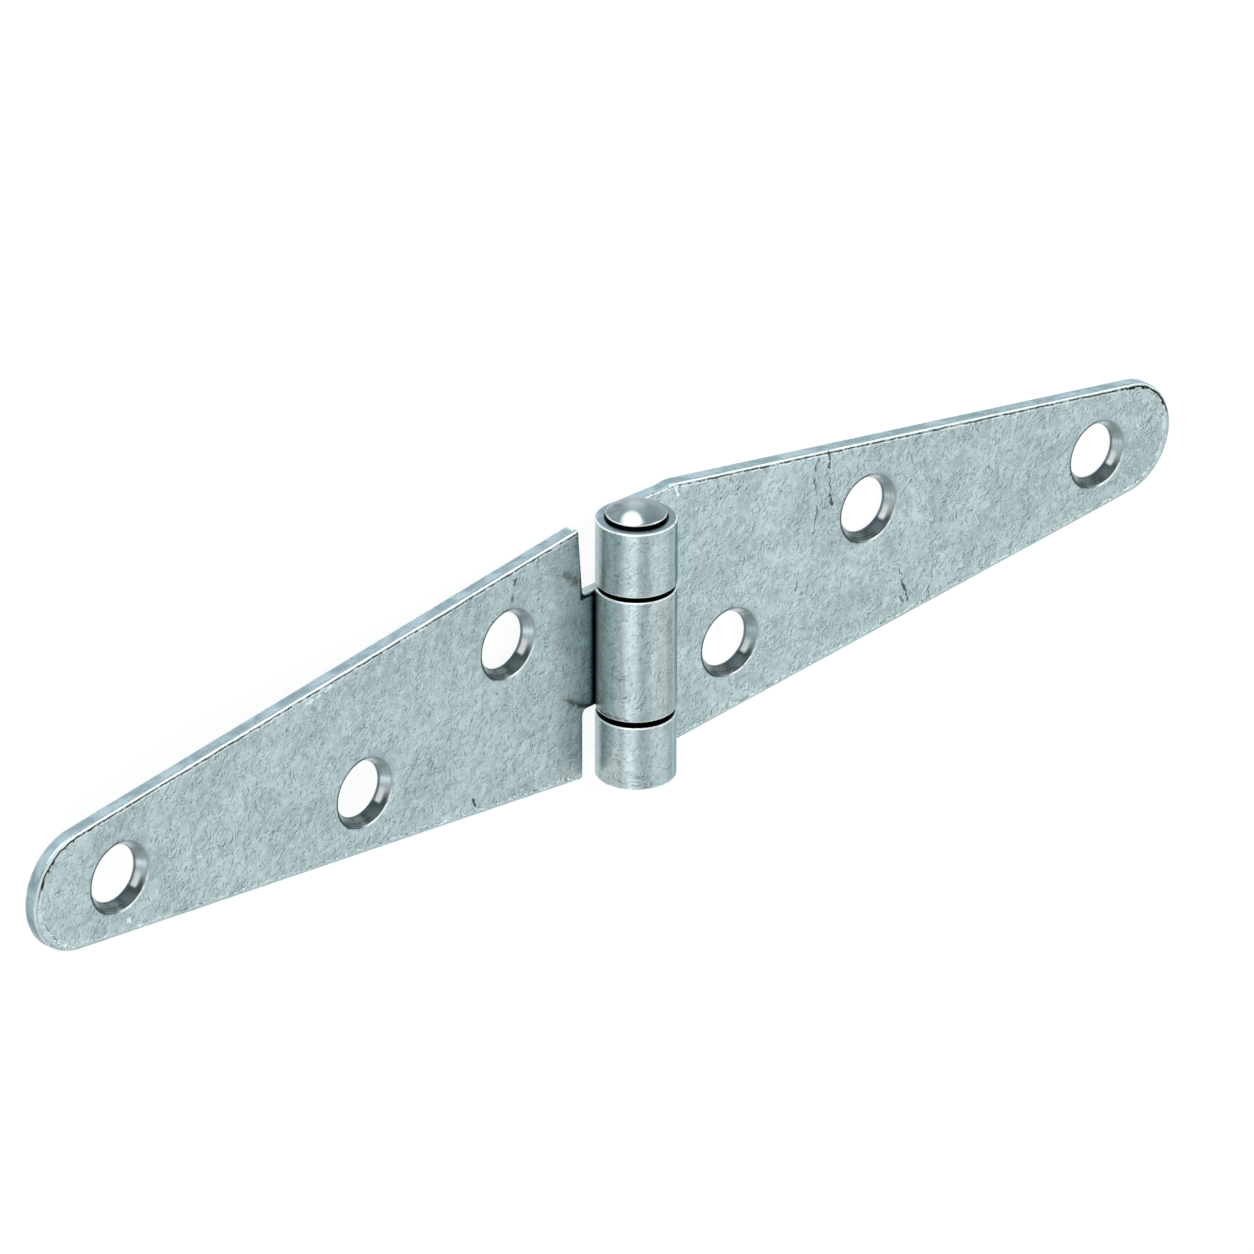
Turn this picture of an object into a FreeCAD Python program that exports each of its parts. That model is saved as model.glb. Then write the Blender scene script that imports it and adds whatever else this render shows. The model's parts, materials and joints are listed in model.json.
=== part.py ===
"""Light strap hinge: two tapered strap leaves with rolled knuckles on one riveted pin.

Millimetres. The outer leaf lies on its back on z = 0 and points along +X, the pin runs along Y,
and the barrel and the countersunk sides of the screw holes face +Z. The origin is on the mounting
plane, straight below the middle of the pin.
"""
import FreeCAD, Part
import math
import os
from FreeCAD import Vector

os.makedirs("parts", exist_ok=True)

# Sheet and barrel
sheet_thickness = 1.4
barrel_radius = 4.0
barrel_length = 28.0
outer_knuckle_length = 6.8
knuckle_gap = 0.6
centre_knuckle_drop = 0.1       # the centre knuckle rests nearer the barrel's lower end
seam_gap = 0.25                 # from a knuckle's cut end to the leaf's front face
front_edge_radius = 0.3         # rolled-over side of the blanked edge
back_edge_chamfer = 0.12        # cut side of the blanked edge

# Rivet pin
pin_clearance = 0.06            # radial, in every knuckle
head_radius = 3.0
head_height = 1.5               # dome above the barrel's end
seat_margin = 0.3               # the seat's mouth is this much wider than the head

# Both leaves
shoulder_reach = 4.6            # from the pin axis to the shoulders beside a knuckle
notch_corner_radius = 0.5
outside_corner_radius = 0.45
tip_radius = 6.2
hole_radius = 2.92
countersink_radius = 3.6
hole_land = 0.35                # straight wall left behind the countersink

# Outer leaf, with a knuckle at each end of the barrel
outer_leaf_reach = 73.6
outer_leaf_tip_offset = -0.3
outer_root_step = 0.25          # the blank is wider than the barrel past this small step
outer_step_start = 5.6
outer_step_end = 7.0
outer_leaf_holes = ((14.4, -5.6), (32.5, 3.3))
outer_tip_hole_inset = 10.1     # from the tip back to its screw hole
outer_tip_hole_offset = -0.6

# Centre leaf, with the long knuckle, in its own frame: it is turned half round to face the other
centre_leaf_reach = 77.1
centre_leaf_offset = 0.3        # its whole blank sits this far along the pin from the middle
centre_root_inset = 0.2         # each side of its root is this much narrower than the barrel
centre_shoulder_slant = 0.6     # its first shoulder runs out by this much
centre_leaf_holes = ((14.95, -4.6), (34.4, 4.15))
centre_tip_hole_inset = 10.75
centre_tip_hole_offset = 0.8

# Pose at rest: the centre leaf stands a little forward of flat
rest_fold_deg = 5.5

half_barrel = barrel_length / 2
bore_radius = barrel_radius - sheet_thickness
pin_radius = bore_radius - pin_clearance
outer_knuckle_inner_end = half_barrel - outer_knuckle_length
centre_knuckle_half = outer_knuckle_inner_end - knuckle_gap
axis_point = Vector(0, 0, barrel_radius)
axis_direction = Vector(0, 1, 0)


def tip_tangent(corner, centre, radius, side):
    """Point where a straight edge from a root corner touches the round tip (side +1 or -1)."""
    to_corner = corner - centre
    opening = math.acos(radius / to_corner.Length)
    angle = math.atan2(to_corner.y, to_corner.x) - side * opening
    return centre + Vector(math.cos(angle), math.sin(angle), 0) * radius


def rounded_path(corners):
    """Straight edges through (point, radius) corners, with an arc where the radius isn't zero."""
    edges = []
    start = corners[0][0]
    for before, here, after in zip(corners, corners[1:], corners[2:]):
        point, radius = here
        if radius == 0:
            edges.append(Part.makeLine(start, point))
            start = point
            continue
        back = (before[0] - point).normalize()
        ahead = (after[0] - point).normalize()
        half_angle = back.getAngle(ahead) / 2
        tangent_length = radius / math.tan(half_angle)
        arc_start = point + back * tangent_length
        arc_end = point + ahead * tangent_length
        bisector = (back + ahead).normalize()
        arc_middle = point + bisector * (radius / math.sin(half_angle) - radius)
        edges.append(Part.makeLine(start, arc_start))
        edges.append(Part.Arc(arc_start, arc_middle, arc_end).toShape())
        start = arc_end
    edges.append(Part.makeLine(start, corners[-1][0]))
    return edges


def blank(root_corners, reach, tip_offset):
    """Flat blank from its root corners, listed from the +y side to the -y side, and its tip."""
    tip_centre = Vector(reach - tip_radius, tip_offset, 0)
    upper = tip_tangent(root_corners[0][0], tip_centre, tip_radius, 1)
    lower = tip_tangent(root_corners[-1][0], tip_centre, tip_radius, -1)
    edges = rounded_path([(upper, 0)] + root_corners + [(lower, 0)])
    tip = Vector(reach, tip_offset, 0)
    edges.append(Part.Arc(lower, tip, upper).toShape())
    outline = Part.Face(Part.Wire(Part.__sortEdges__(edges)))
    return outline.extrude(Vector(0, 0, sheet_thickness))


def lies_at(edge, z):
    """True for an edge of the blank's rim at height z, away from the knuckle ends at x = 0."""
    box = edge.BoundBox
    return abs(box.ZMin - z) < 1e-6 and abs(box.ZMax - z) < 1e-6 and box.XMax > 1e-6


def soften_rim(plate):
    """Round the front rim of the blank and break the back one, as blanking and tumbling do."""
    front = [edge for edge in plate.Edges if lies_at(edge, sheet_thickness)]
    plate = plate.makeFillet(front_edge_radius, front)
    back = [edge for edge in plate.Edges if lies_at(edge, 0)]
    return plate.makeChamfer(back_edge_chamfer, back)


def roll_knuckles(plate):
    """Swing each strip's end section round the pin axis until its cut end nears the leaf."""
    drop_to_leaf = barrel_radius - sheet_thickness - seam_gap
    sweep = 270 + math.degrees(math.asin(drop_to_leaf / barrel_radius))
    ends = [face for face in plate.Faces if face.BoundBox.XMax < 1e-6]
    curls = [face.revolve(axis_point, axis_direction, sweep) for face in ends]
    return plate.fuse(curls).removeSplitter()


def screw_hole(x, y):
    """Through hole with a countersink that opens at the front face."""
    hole = Part.makeCylinder(hole_radius, sheet_thickness, Vector(x, y, 0))
    cone_depth = sheet_thickness - hole_land
    cone = Part.makeCone(hole_radius, countersink_radius, cone_depth, Vector(x, y, hole_land))
    return hole.fuse(cone)


def head_seat(end):
    """Cone that opens the bore for a pin head at the barrel's +y or -y end (end +1 or -1)."""
    mouth_radius = head_radius + seat_margin
    depth = mouth_radius - bore_radius
    mouth = axis_point + axis_direction * (end * half_barrel)
    return Part.makeCone(mouth_radius, bore_radius, depth, mouth, axis_direction * -end)


def make_outer_leaf():
    root = half_barrel + outer_root_step
    strip = half_barrel
    inner = outer_knuckle_inner_end
    corners = [
        (Vector(outer_step_end, root, 0), outside_corner_radius),
        (Vector(outer_step_start, strip, 0), notch_corner_radius),
        (Vector(0, strip, 0), 0),
        (Vector(0, inner, 0), 0),
        (Vector(shoulder_reach, inner, 0), notch_corner_radius),
    ]
    mirrored = [(Vector(point.x, -point.y, 0), radius) for point, radius in reversed(corners)]
    plate = soften_rim(blank(corners + mirrored, outer_leaf_reach, outer_leaf_tip_offset))
    leaf = roll_knuckles(plate)
    tip_hole = (outer_leaf_reach - outer_tip_hole_inset, outer_tip_hole_offset)
    for x, y in outer_leaf_holes + (tip_hole,):
        leaf = leaf.cut(screw_hole(x, y))
    for end in (1, -1):
        leaf = leaf.cut(head_seat(end))
    return leaf


def make_centre_leaf():
    root = half_barrel - centre_root_inset
    shift = Vector(0, centre_leaf_offset, 0)
    knuckle_top = centre_knuckle_half + centre_knuckle_drop
    knuckle_bottom = -centre_knuckle_half + centre_knuckle_drop
    slanted_reach = shoulder_reach + centre_shoulder_slant
    corners = [
        (Vector(shoulder_reach, root, 0) + shift, outside_corner_radius),
        (Vector(shoulder_reach, knuckle_top, 0), notch_corner_radius),
        (Vector(0, knuckle_top, 0), 0),
        (Vector(0, knuckle_bottom, 0), 0),
        (Vector(shoulder_reach, knuckle_bottom, 0), notch_corner_radius),
        (Vector(slanted_reach, -root, 0) + shift, outside_corner_radius),
    ]
    plate = soften_rim(blank(corners, centre_leaf_reach, centre_leaf_offset))
    leaf = roll_knuckles(plate)
    tip_hole = (centre_leaf_reach - centre_tip_hole_inset, centre_tip_hole_offset)
    for x, y in centre_leaf_holes + (tip_hole,):
        leaf = leaf.cut(screw_hole(x, y))
    leaf.rotate(Vector(0, 0, 0), Vector(0, 0, 1), 180)
    leaf.rotate(axis_point, axis_direction, rest_fold_deg)
    return leaf


def make_rivet_pin():
    """Pin with a domed head formed into the conical seat at each end of the barrel."""
    neck = half_barrel - seat_margin - (head_radius - pin_radius)
    rim = half_barrel - seat_margin
    dome_radius = (head_radius ** 2 + head_height ** 2) / (2 * head_height)
    dome_centre = half_barrel + head_height - dome_radius
    half_way = math.asin(head_radius / dome_radius) / 2
    across = dome_radius * math.sin(half_way)
    along = dome_centre + dome_radius * math.cos(half_way)

    def station(radius, y):
        return axis_point + Vector(radius, y, 0)

    def half_profile(end):
        top = station(0, end * (half_barrel + head_height))
        shoulder = station(across, end * along)
        edge = station(head_radius, end * half_barrel)
        low_edge = station(head_radius, end * rim)
        shaft = station(pin_radius, end * neck)
        return [
            Part.Arc(top, shoulder, edge).toShape(),
            Part.makeLine(edge, low_edge),
            Part.makeLine(low_edge, shaft),
            Part.makeLine(shaft, station(pin_radius, 0)),
        ]

    tall = half_barrel + head_height
    centre_line = Part.makeLine(station(0, tall), station(0, -tall))
    edges = half_profile(1) + half_profile(-1) + [centre_line]
    profile = Part.Face(Part.Wire(Part.__sortEdges__(edges)))
    return profile.revolve(axis_point, axis_direction, 360).removeSplitter()


nodes = {
    "outer_knuckle_leaf": make_outer_leaf(),
    "centre_knuckle_leaf": make_centre_leaf(),
    "rivet_pin": make_rivet_pin(),
}
for name, shape in nodes.items():
    solid = shape.Solids[0]
    print(name, "solids", len(shape.Solids), "valid", solid.isValid(), "volume", round(solid.Volume, 1))
    solid.exportStep("parts/" + name + ".step")
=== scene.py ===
# %% [markdown]
# # Dressing a light strap hinge
#
# The hinge is three pieces of plated steel: a leaf with a rolled knuckle at each end of the
# barrel, a leaf with one long knuckle between them, and a rivet pin with a domed head at each
# end. The fixed model gives their places. This lesson models the same pieces again with the
# small forms that catch light, such as rolled edges and turned countersinks, and gives them
# their mottled zinc. It goes through the camera, the leaves' shapes, their colours, the pin and
# the studio in turn. The fixed model could be coloured as it is, but its edges are too plain for
# a close picture, and a new mesh takes its place without moving anything.

# %% Load the fixed model
import bpy
import json
import math
import random
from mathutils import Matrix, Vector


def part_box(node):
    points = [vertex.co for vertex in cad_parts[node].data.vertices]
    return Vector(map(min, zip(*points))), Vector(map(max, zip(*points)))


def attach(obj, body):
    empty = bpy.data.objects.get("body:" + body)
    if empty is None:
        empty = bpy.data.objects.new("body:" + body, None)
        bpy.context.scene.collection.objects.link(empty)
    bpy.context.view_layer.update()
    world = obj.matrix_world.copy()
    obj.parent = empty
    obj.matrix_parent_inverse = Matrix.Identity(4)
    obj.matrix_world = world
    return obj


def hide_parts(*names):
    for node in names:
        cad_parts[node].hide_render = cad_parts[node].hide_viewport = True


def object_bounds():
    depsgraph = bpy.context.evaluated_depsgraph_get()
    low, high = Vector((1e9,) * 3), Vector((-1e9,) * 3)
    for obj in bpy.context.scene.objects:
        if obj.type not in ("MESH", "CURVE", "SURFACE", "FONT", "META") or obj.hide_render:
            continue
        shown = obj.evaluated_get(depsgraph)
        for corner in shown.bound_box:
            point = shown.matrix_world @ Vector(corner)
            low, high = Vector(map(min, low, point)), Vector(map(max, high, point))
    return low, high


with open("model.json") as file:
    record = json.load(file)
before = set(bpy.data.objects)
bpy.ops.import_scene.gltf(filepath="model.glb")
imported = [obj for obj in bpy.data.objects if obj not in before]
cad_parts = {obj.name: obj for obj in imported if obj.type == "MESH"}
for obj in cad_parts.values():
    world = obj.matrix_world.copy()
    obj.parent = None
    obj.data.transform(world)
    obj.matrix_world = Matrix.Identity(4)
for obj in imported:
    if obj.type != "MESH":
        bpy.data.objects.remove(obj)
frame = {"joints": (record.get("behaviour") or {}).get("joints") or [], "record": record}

from types import SimpleNamespace
from mathutils import Matrix, Vector

cad_low, cad_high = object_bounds()
print("model box", [round(v, 4) for v in cad_low], [round(v, 4) for v in cad_high])

# %% [markdown]
# Most places come from the fixed model, so the pieces stay where it has them: the pin's line
# from the joint, the screw holes from the mounts, and the outer leaf's reach and the heads'
# height from its boxes. Sizes that it doesn't state are named here, in metres.

# %% Read the sizes
MM = 0.001
mounts = {mount["name"]: mount for mount in frame["record"]["mounts"]}
pin_middle = Vector(frame["joints"][0]["pos_m"])
barrel_radius = pin_middle.z
sheet = 1.4 * MM
bore_radius = barrel_radius - sheet
half_barrel = 14.0 * MM
knuckle_inner_end = 7.2 * MM
centre_knuckle = (-6.5 * MM, 6.57 * MM)
shoulder_reach = 4.6 * MM
tip_radius = 6.2 * MM
hole_radius = mounts["outer_leaf_root_screw"]["dims"]["r_mm"] * MM
hole_land = mounts["outer_leaf_root_screw"]["dims"]["length_mm"] * MM
countersink_radius = 3.6 * MM
head_radius = 3.0 * MM
head_height = cad_high.y - half_barrel
seat_margin = 0.12 * MM
knuckle_draw = 0.13 * MM

leaf_normal = Vector(mounts["centre_leaf_root_screw"]["axis"])
rest_fold = math.atan2(leaf_normal.x, leaf_normal.z)
to_pin = Matrix.Translation(pin_middle)
fold_turn = to_pin @ Matrix.Rotation(rest_fold, 4, "Y") @ to_pin.inverted()
place_outer = Matrix.Identity(4)
place_centre = fold_turn @ Matrix.Rotation(math.pi, 4, "Z")
print("barrel radius", barrel_radius, "fold at rest", round(math.degrees(rest_fold), 2))

# %% [markdown]
# The camera comes first, because everything after it is judged through it. It is a long lens
# about a metre away, looking down on the hinge as it lies on its back. In the photo the pin
# stands upright, so the camera's up is close to the pin's line. The leaf to the right runs
# away from the camera by `leaf_turn`, and the camera looks down along the pin by `look_down`.
# A camera could be aimed with a Track To constraint, but three unit vectors, right, up and ahead,
# make a matrix that a photo's fitted angles go straight into.

# %% Set the camera
leaf_turn = math.radians(40.4031)
look_down = math.radians(27.3292)
roll = math.radians(-0.1393)
camera_distance = 957.08 * MM
aim_side = 0.876 * MM
aim_up = -1.961 * MM
photo_width = 1254
focal_pixels = 9840.86
aim_point = Vector((0, -0.31 * MM, barrel_radius))

level_right = Vector((math.cos(leaf_turn), 0, math.sin(leaf_turn)))
level_ahead = Vector((math.sin(leaf_turn), 0, -math.cos(leaf_turn)))
pin_line = Vector((0, 1, 0))
ahead = level_ahead * math.cos(look_down) - pin_line * math.sin(look_down)
level_up = level_ahead * math.sin(look_down) + pin_line * math.cos(look_down)
right = level_right * math.cos(roll) - level_up * math.sin(roll)
up = level_right * math.sin(roll) + level_up * math.cos(roll)

camera_data = bpy.data.cameras.new("studio_camera")
camera = bpy.data.objects.new("studio_camera", camera_data)
bpy.context.scene.collection.objects.link(camera)
camera_data.sensor_fit = "HORIZONTAL"
camera_data.sensor_width = 36.0
camera_data.lens = focal_pixels / photo_width * camera_data.sensor_width
camera_data.clip_end = 20
place = aim_point - right * aim_side - up * aim_up - ahead * camera_distance
turn = Matrix((right, up, -ahead)).transposed().to_4x4()
camera.matrix_world = Matrix.Translation(place) @ turn
bpy.context.scene.camera = camera
bpy.context.scene.view_settings.view_transform = "Standard"
print("lens", round(camera_data.lens, 1), "camera at", [round(v, 3) for v in place])

# %% [markdown]
# Two small helpers stand in for the mouse. `start_fresh` leaves edit mode and drops the
# selection, because an operator acts on all that is selected. `choose` selects the vertices,
# edges or faces that pass a test and goes into edit mode, ready for the next operator.

# %% Helpers for selecting
def start_fresh():
    if bpy.context.mode != "OBJECT":
        bpy.ops.object.mode_set(mode="OBJECT")
    bpy.ops.object.select_all(action="DESELECT")


def make_active(piece):
    start_fresh()
    piece.select_set(True)
    bpy.context.view_layer.objects.active = piece


def choose(piece, kind, test):
    if bpy.context.mode != "EDIT_MESH":
        bpy.ops.object.mode_set(mode="EDIT")
    bpy.ops.mesh.select_mode(type=kind)
    bpy.ops.mesh.select_all(action="DESELECT")
    bpy.ops.object.mode_set(mode="OBJECT")
    mesh = piece.data
    if kind == "VERT":
        for vertex in mesh.vertices:
            vertex.select = test(vertex.co)
    elif kind == "EDGE":
        for edge in mesh.edges:
            ends = [mesh.vertices[index].co for index in edge.vertices]
            edge.select = test(ends[0]) and test(ends[1])
    else:
        for face in mesh.polygons:
            face.select = test(face)
    bpy.ops.object.mode_set(mode="EDIT")


def apply_place(piece):
    make_active(piece)
    bpy.ops.object.transform_apply(location=True, rotation=True, scale=True)


# %% [markdown]
# A real leaf is blanked from sheet in one stroke. It could be drawn as a curve and given depth,
# but an outline of single vertices can be inset ring by ring, which the rolled rim needs. The
# round tip is a circle with its root side deleted. From the arc's end one vertex is extruded from
# corner to corner round the root, and the outline is closed and filled. The knuckle strips run
# past the pin's line for now, so that the rolled rim made next has the same section all the way
# to where they are cut.

# %% Draw a leaf's outline
strip_spare = -3 * MM


def tip_angle(corner, centre, side):
    to_corner = corner - centre
    opening = math.acos(tip_radius / to_corner.length)
    return math.atan2(to_corner.y, to_corner.x) - side * opening


def draw_outline(name, corners, reach, tip_offset):
    start_fresh()
    centre = Vector((reach - tip_radius, tip_offset, 0))
    bpy.ops.mesh.primitive_circle_add(vertices=240, radius=tip_radius, location=centre)
    piece = bpy.context.object
    piece.name = name
    apply_place(piece)
    upper = tip_angle(corners[0][0], centre, 1)
    lower = tip_angle(corners[-1][0], centre, -1)

    def off_the_tip(co):
        angle = math.atan2(co.y - centre.y, co.x - centre.x)
        return not lower <= angle <= upper

    choose(piece, "VERT", off_the_tip)
    bpy.ops.mesh.delete(type="VERT")
    bpy.ops.object.mode_set(mode="OBJECT")

    def angle_of(co):
        return math.atan2(co.y - centre.y, co.x - centre.x)

    arc = sorted((vertex.co.copy() for vertex in piece.data.vertices), key=angle_of)
    bottom, top = arc[0], arc[-1]
    choose(piece, "VERT", lambda co: (co - top).length < 1e-7)
    here = top
    for corner, radius in corners:
        bpy.ops.mesh.extrude_region_move(TRANSFORM_OT_translate={"value": corner - here})
        here = corner
    choose(piece, "VERT", lambda co: (co - here).length < 1e-7 or (co - bottom).length < 1e-7)
    bpy.ops.mesh.edge_face_add()
    bpy.ops.mesh.select_all(action="SELECT")
    bpy.ops.mesh.edge_face_add()
    for corner, radius in corners:
        if radius:
            choose(piece, "VERT", lambda co: (co - corner).length < 1e-7)
            bpy.ops.mesh.bevel(offset=radius, segments=6, affect="VERTICES")
    return piece


# %% [markdown]
# Shearing a blank from sheet draws its front rim over in a soft curve and leaves the back rim
# nearly square. A Bevel modifier gives both the same round section, so the rim is made by hand.
# Rings are inset beside the outline, and each is remembered as a vertex group, so a vertex's
# weights tell how far in it lies. The face is bisected into a fine grid, which keeps the later
# cuts and the rolled strip even. The sheet gets its thickness by one extrude. Then Displace
# modifiers lift the back and lower the front by those weights, a ring at a time.

# %% Give the blank its thickness and rolled rim
ring_steps = (0.03 * MM, 0.05 * MM, 0.08 * MM, 0.14 * MM)
front_drops = (0.32 * MM, 0.22 * MM, 0.13 * MM, 0.05 * MM, 0)
back_lifts = (0.12 * MM, 0.05 * MM, 0, 0, 0)
grid_step = 0.75 * MM


def remember_ring(piece, name):
    group = piece.vertex_groups.new(name=name)
    piece.vertex_groups.active_index = group.index
    bpy.ops.object.vertex_group_assign()


def cut_across(line, where):
    bpy.ops.mesh.select_all(action="SELECT")
    bpy.ops.mesh.bisect(plane_co=line * where, plane_no=line)


def move_rings(piece, heights):
    before = 0
    for count, height in enumerate(heights):
        if height != before:
            bpy.ops.object.modifier_add(type="DISPLACE")
            shift = piece.modifiers[-1]
            shift.direction = "Z"
            shift.mid_level = 0
            shift.strength = height - before
            shift.vertex_group = "ring_%d" % count
            bpy.ops.object.modifier_apply(modifier=shift.name)
        before = height


def thicken(piece, reach, half_width):
    make_active(piece)
    choose(piece, "FACE", lambda face: True)
    remember_ring(piece, "ring_0")
    for count, step in enumerate(ring_steps, 1):
        bpy.ops.mesh.inset(thickness=step, use_even_offset=True, use_boundary=True)
        remember_ring(piece, "ring_%d" % count)
    bpy.ops.mesh.select_all(action="SELECT")
    bpy.ops.mesh.bisect(plane_co=(0, 0, 0), plane_no=(1, 0, 0), clear_inner=True)
    for count in range(1, int(reach / grid_step)):
        cut_across(Vector((1, 0, 0)), count * grid_step)
    for count in range(-int(half_width / grid_step), int(half_width / grid_step) + 1):
        cut_across(Vector((0, 1, 0)), (count + 0.37) * grid_step)
    bpy.ops.object.mode_set(mode="OBJECT")
    move_rings(piece, back_lifts)
    bpy.ops.object.mode_set(mode="EDIT")
    bpy.ops.mesh.select_all(action="SELECT")
    bpy.ops.mesh.select_mode(type="VERT")
    bpy.ops.mesh.extrude_region_move(TRANSFORM_OT_translate={"value": (0, 0, sheet)})
    bpy.ops.mesh.select_all(action="INVERT")
    bpy.ops.object.vertex_group_remove_from(use_all_groups=True)
    bpy.ops.mesh.select_all(action="SELECT")
    bpy.ops.mesh.normals_make_consistent(inside=False)
    bpy.ops.object.mode_set(mode="OBJECT")
    move_rings(piece, [-drop - lift for drop, lift in zip(front_drops, back_lifts)])
    heights = [vertex.co.z for vertex in piece.data.vertices]
    print(piece.name, "blank", len(heights), "vertices, z", round(min(heights), 6), round(max(heights), 6))


# %% [markdown]
# A knuckle is the strip's own end curled round the pin's line. A tube set beside the leaf would
# lose the rolled rim, so the strip's end section is swung instead. The end faces are deleted,
# their open rims are spun, and the last rim is filled as the square-cut free end, which stops
# just short of the leaf's face and leaves the seam.

# %% Roll the knuckles
seam_gap = 0.25 * MM
roll_steps = 72


def roll_knuckles(piece):
    drop = (barrel_radius - sheet - seam_gap) / barrel_radius
    sweep = math.radians(270) + math.asin(drop)
    make_active(piece)
    choose(piece, "FACE", lambda face: abs(face.center.x) < 1e-6 and abs(face.normal.x) > 0.9)
    bpy.ops.mesh.delete(type="FACE")
    choose(piece, "EDGE", lambda co: abs(co.x) < 1e-6)
    bpy.ops.mesh.spin(steps=roll_steps, angle=-sweep, center=pin_middle, axis=(0, 1, 0))
    bpy.ops.mesh.select_all(action="DESELECT")
    bpy.ops.mesh.select_non_manifold(extend=False)
    bpy.ops.mesh.fill_holes(sides=0)
    bpy.ops.mesh.select_all(action="SELECT")
    bpy.ops.mesh.remove_doubles(threshold=1e-7)
    bpy.ops.mesh.normals_make_consistent(inside=False)
    bpy.ops.object.mode_set(mode="OBJECT")
    low = min(vertex.co.x for vertex in piece.data.vertices)
    high = max(vertex.co.z for vertex in piece.data.vertices)
    print(piece.name, "rolled: back of the barrel", round(low, 5), "top", round(high, 5))


# %% [markdown]
# The screw holes and the cones that seat the pin's heads are cut with Boolean modifiers, as a
# drill cuts the real ones. Each cutter is a turned solid: its half section is extruded vertex by
# vertex and spun right round. A plain cone would do for the shape, but the countersink's section
# has the fine steps a cutting tool leaves and a small rounded mouth, and both catch the light.

# %% Turn a cutter and cut with it
def turned_solid(name, section, turns=96):
    """Spin a half section of (radius, height) points, ending on the axis, about Z."""
    start_fresh()
    bpy.ops.mesh.primitive_circle_add(vertices=3, radius=1)
    piece = bpy.context.object
    piece.name = name
    bpy.ops.object.mode_set(mode="EDIT")
    bpy.ops.mesh.select_mode(type="VERT")
    bpy.ops.mesh.select_all(action="SELECT")
    bpy.ops.mesh.merge(type="CENTER")
    here = Vector((section[0][0], 0, section[0][1]))
    bpy.ops.transform.translate(value=here)
    for radius, height in section[1:]:
        point = Vector((radius, 0, height))
        bpy.ops.mesh.extrude_region_move(TRANSFORM_OT_translate={"value": point - here})
        here = point
    bpy.ops.mesh.select_all(action="SELECT")
    bpy.ops.mesh.spin(steps=turns, angle=math.tau, center=(0, 0, 0), axis=(0, 0, 1))
    bpy.ops.mesh.select_all(action="SELECT")
    bpy.ops.mesh.remove_doubles(threshold=2e-7)
    bpy.ops.mesh.normals_make_consistent(inside=False)
    bpy.ops.object.mode_set(mode="OBJECT")
    return piece


def tool_rings(count, depth):
    """Steps down the countersink from its mouth to the straight wall, cut a little too deep in turn."""
    points = []
    for step in range(count):
        for part, groove in ((0.0, 0.0), (0.5, depth)):
            along = (step + part) / count
            radius = countersink_radius + (hole_radius - countersink_radius) * along
            height = sheet + (hole_land - sheet) * along
            points.append((radius + groove, height))
    return points


def hole_cutter(name, x, y):
    mouth = [
        (0, sheet + 0.5 * MM),
        (countersink_radius + 0.5 * MM, sheet + 0.5 * MM),
        (countersink_radius + 0.11 * MM, sheet + 0.01 * MM),
        (countersink_radius + 0.05 * MM, sheet - 0.015 * MM),
    ]
    rings = tool_rings(8, 0.009 * MM)[1:]
    wall = [
        (hole_radius, hole_land),
        (hole_radius, 0.08 * MM),
        (hole_radius + 0.09 * MM, -0.01 * MM),
        (hole_radius + 0.5 * MM, -0.5 * MM),
        (0, -0.5 * MM),
    ]
    cutter = turned_solid(name, mouth + rings + wall)
    cutter.location = (x, y, 0)
    apply_place(cutter)
    return cutter


def seat_cutter(name, end):
    mouth = head_radius + seat_margin
    depth = mouth - bore_radius
    section = [(0, 0.5 * MM), (mouth + 0.5 * MM, 0.5 * MM), (mouth + 0.06 * MM, 0.01 * MM),
               (mouth, -0.05 * MM), (bore_radius - 0.1 * MM, -depth - 0.1 * MM), (0, -depth - 0.1 * MM)]
    cutter = turned_solid(name, section)
    cutter.rotation_euler = (math.radians(-90 * end), 0, 0)
    cutter.location = pin_middle + Vector((0, end * half_barrel - max(end, 0) * knuckle_draw, 0))
    apply_place(cutter)
    return cutter


def join_pieces(pieces):
    start_fresh()
    for piece in pieces:
        piece.select_set(True)
    bpy.context.view_layer.objects.active = pieces[0]
    if len(pieces) > 1:
        bpy.ops.object.join()
    return pieces[0]


def cut_away(piece, cutter):
    make_active(piece)
    bpy.ops.object.modifier_add(type="BOOLEAN")
    cut = piece.modifiers[-1]
    cut.operation = "DIFFERENCE"
    cut.solver = "EXACT"
    cut.material_mode = "TRANSFER"
    cut.object = cutter
    bpy.ops.object.modifier_apply(modifier=cut.name)
    start_fresh()
    cutter.select_set(True)
    bpy.ops.object.delete()
    print(piece.name, "cut:", len(piece.data.polygons), "faces")


# %% [markdown]
# ## Colours
# All textures read Object coordinates, in millimetres of the leaf's own flat frame, so that a
# mark stays where it is put when the leaf turns. `put` adds one node and fills its inputs: a
# socket is linked and a number is set.

# %% Helpers for nodes
def put(tree, kind, inputs=None, **settings):
    node = tree.nodes.new(kind)
    for key, value in settings.items():
        setattr(node, key, value)
    for key, value in (inputs or {}).items():
        socket = node.inputs[key]
        if isinstance(value, bpy.types.NodeSocket):
            tree.links.new(value, socket)
        else:
            socket.default_value = value
    return node


def calc(tree, operation, first, second=0.0, third=0.0, clamp=False):
    node = put(tree, "ShaderNodeMath", {0: first, 1: second, 2: third}, operation=operation)
    node.use_clamp = clamp
    return node.outputs[0]


def fade(tree, value, low, high, to_low=0.0, to_high=1.0):
    node = put(tree, "ShaderNodeMapRange",
               {"Value": value, "From Min": low, "From Max": high, "To Min": to_low, "To Max": to_high},
               interpolation_type="SMOOTHSTEP")
    return node.outputs["Result"]


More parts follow.
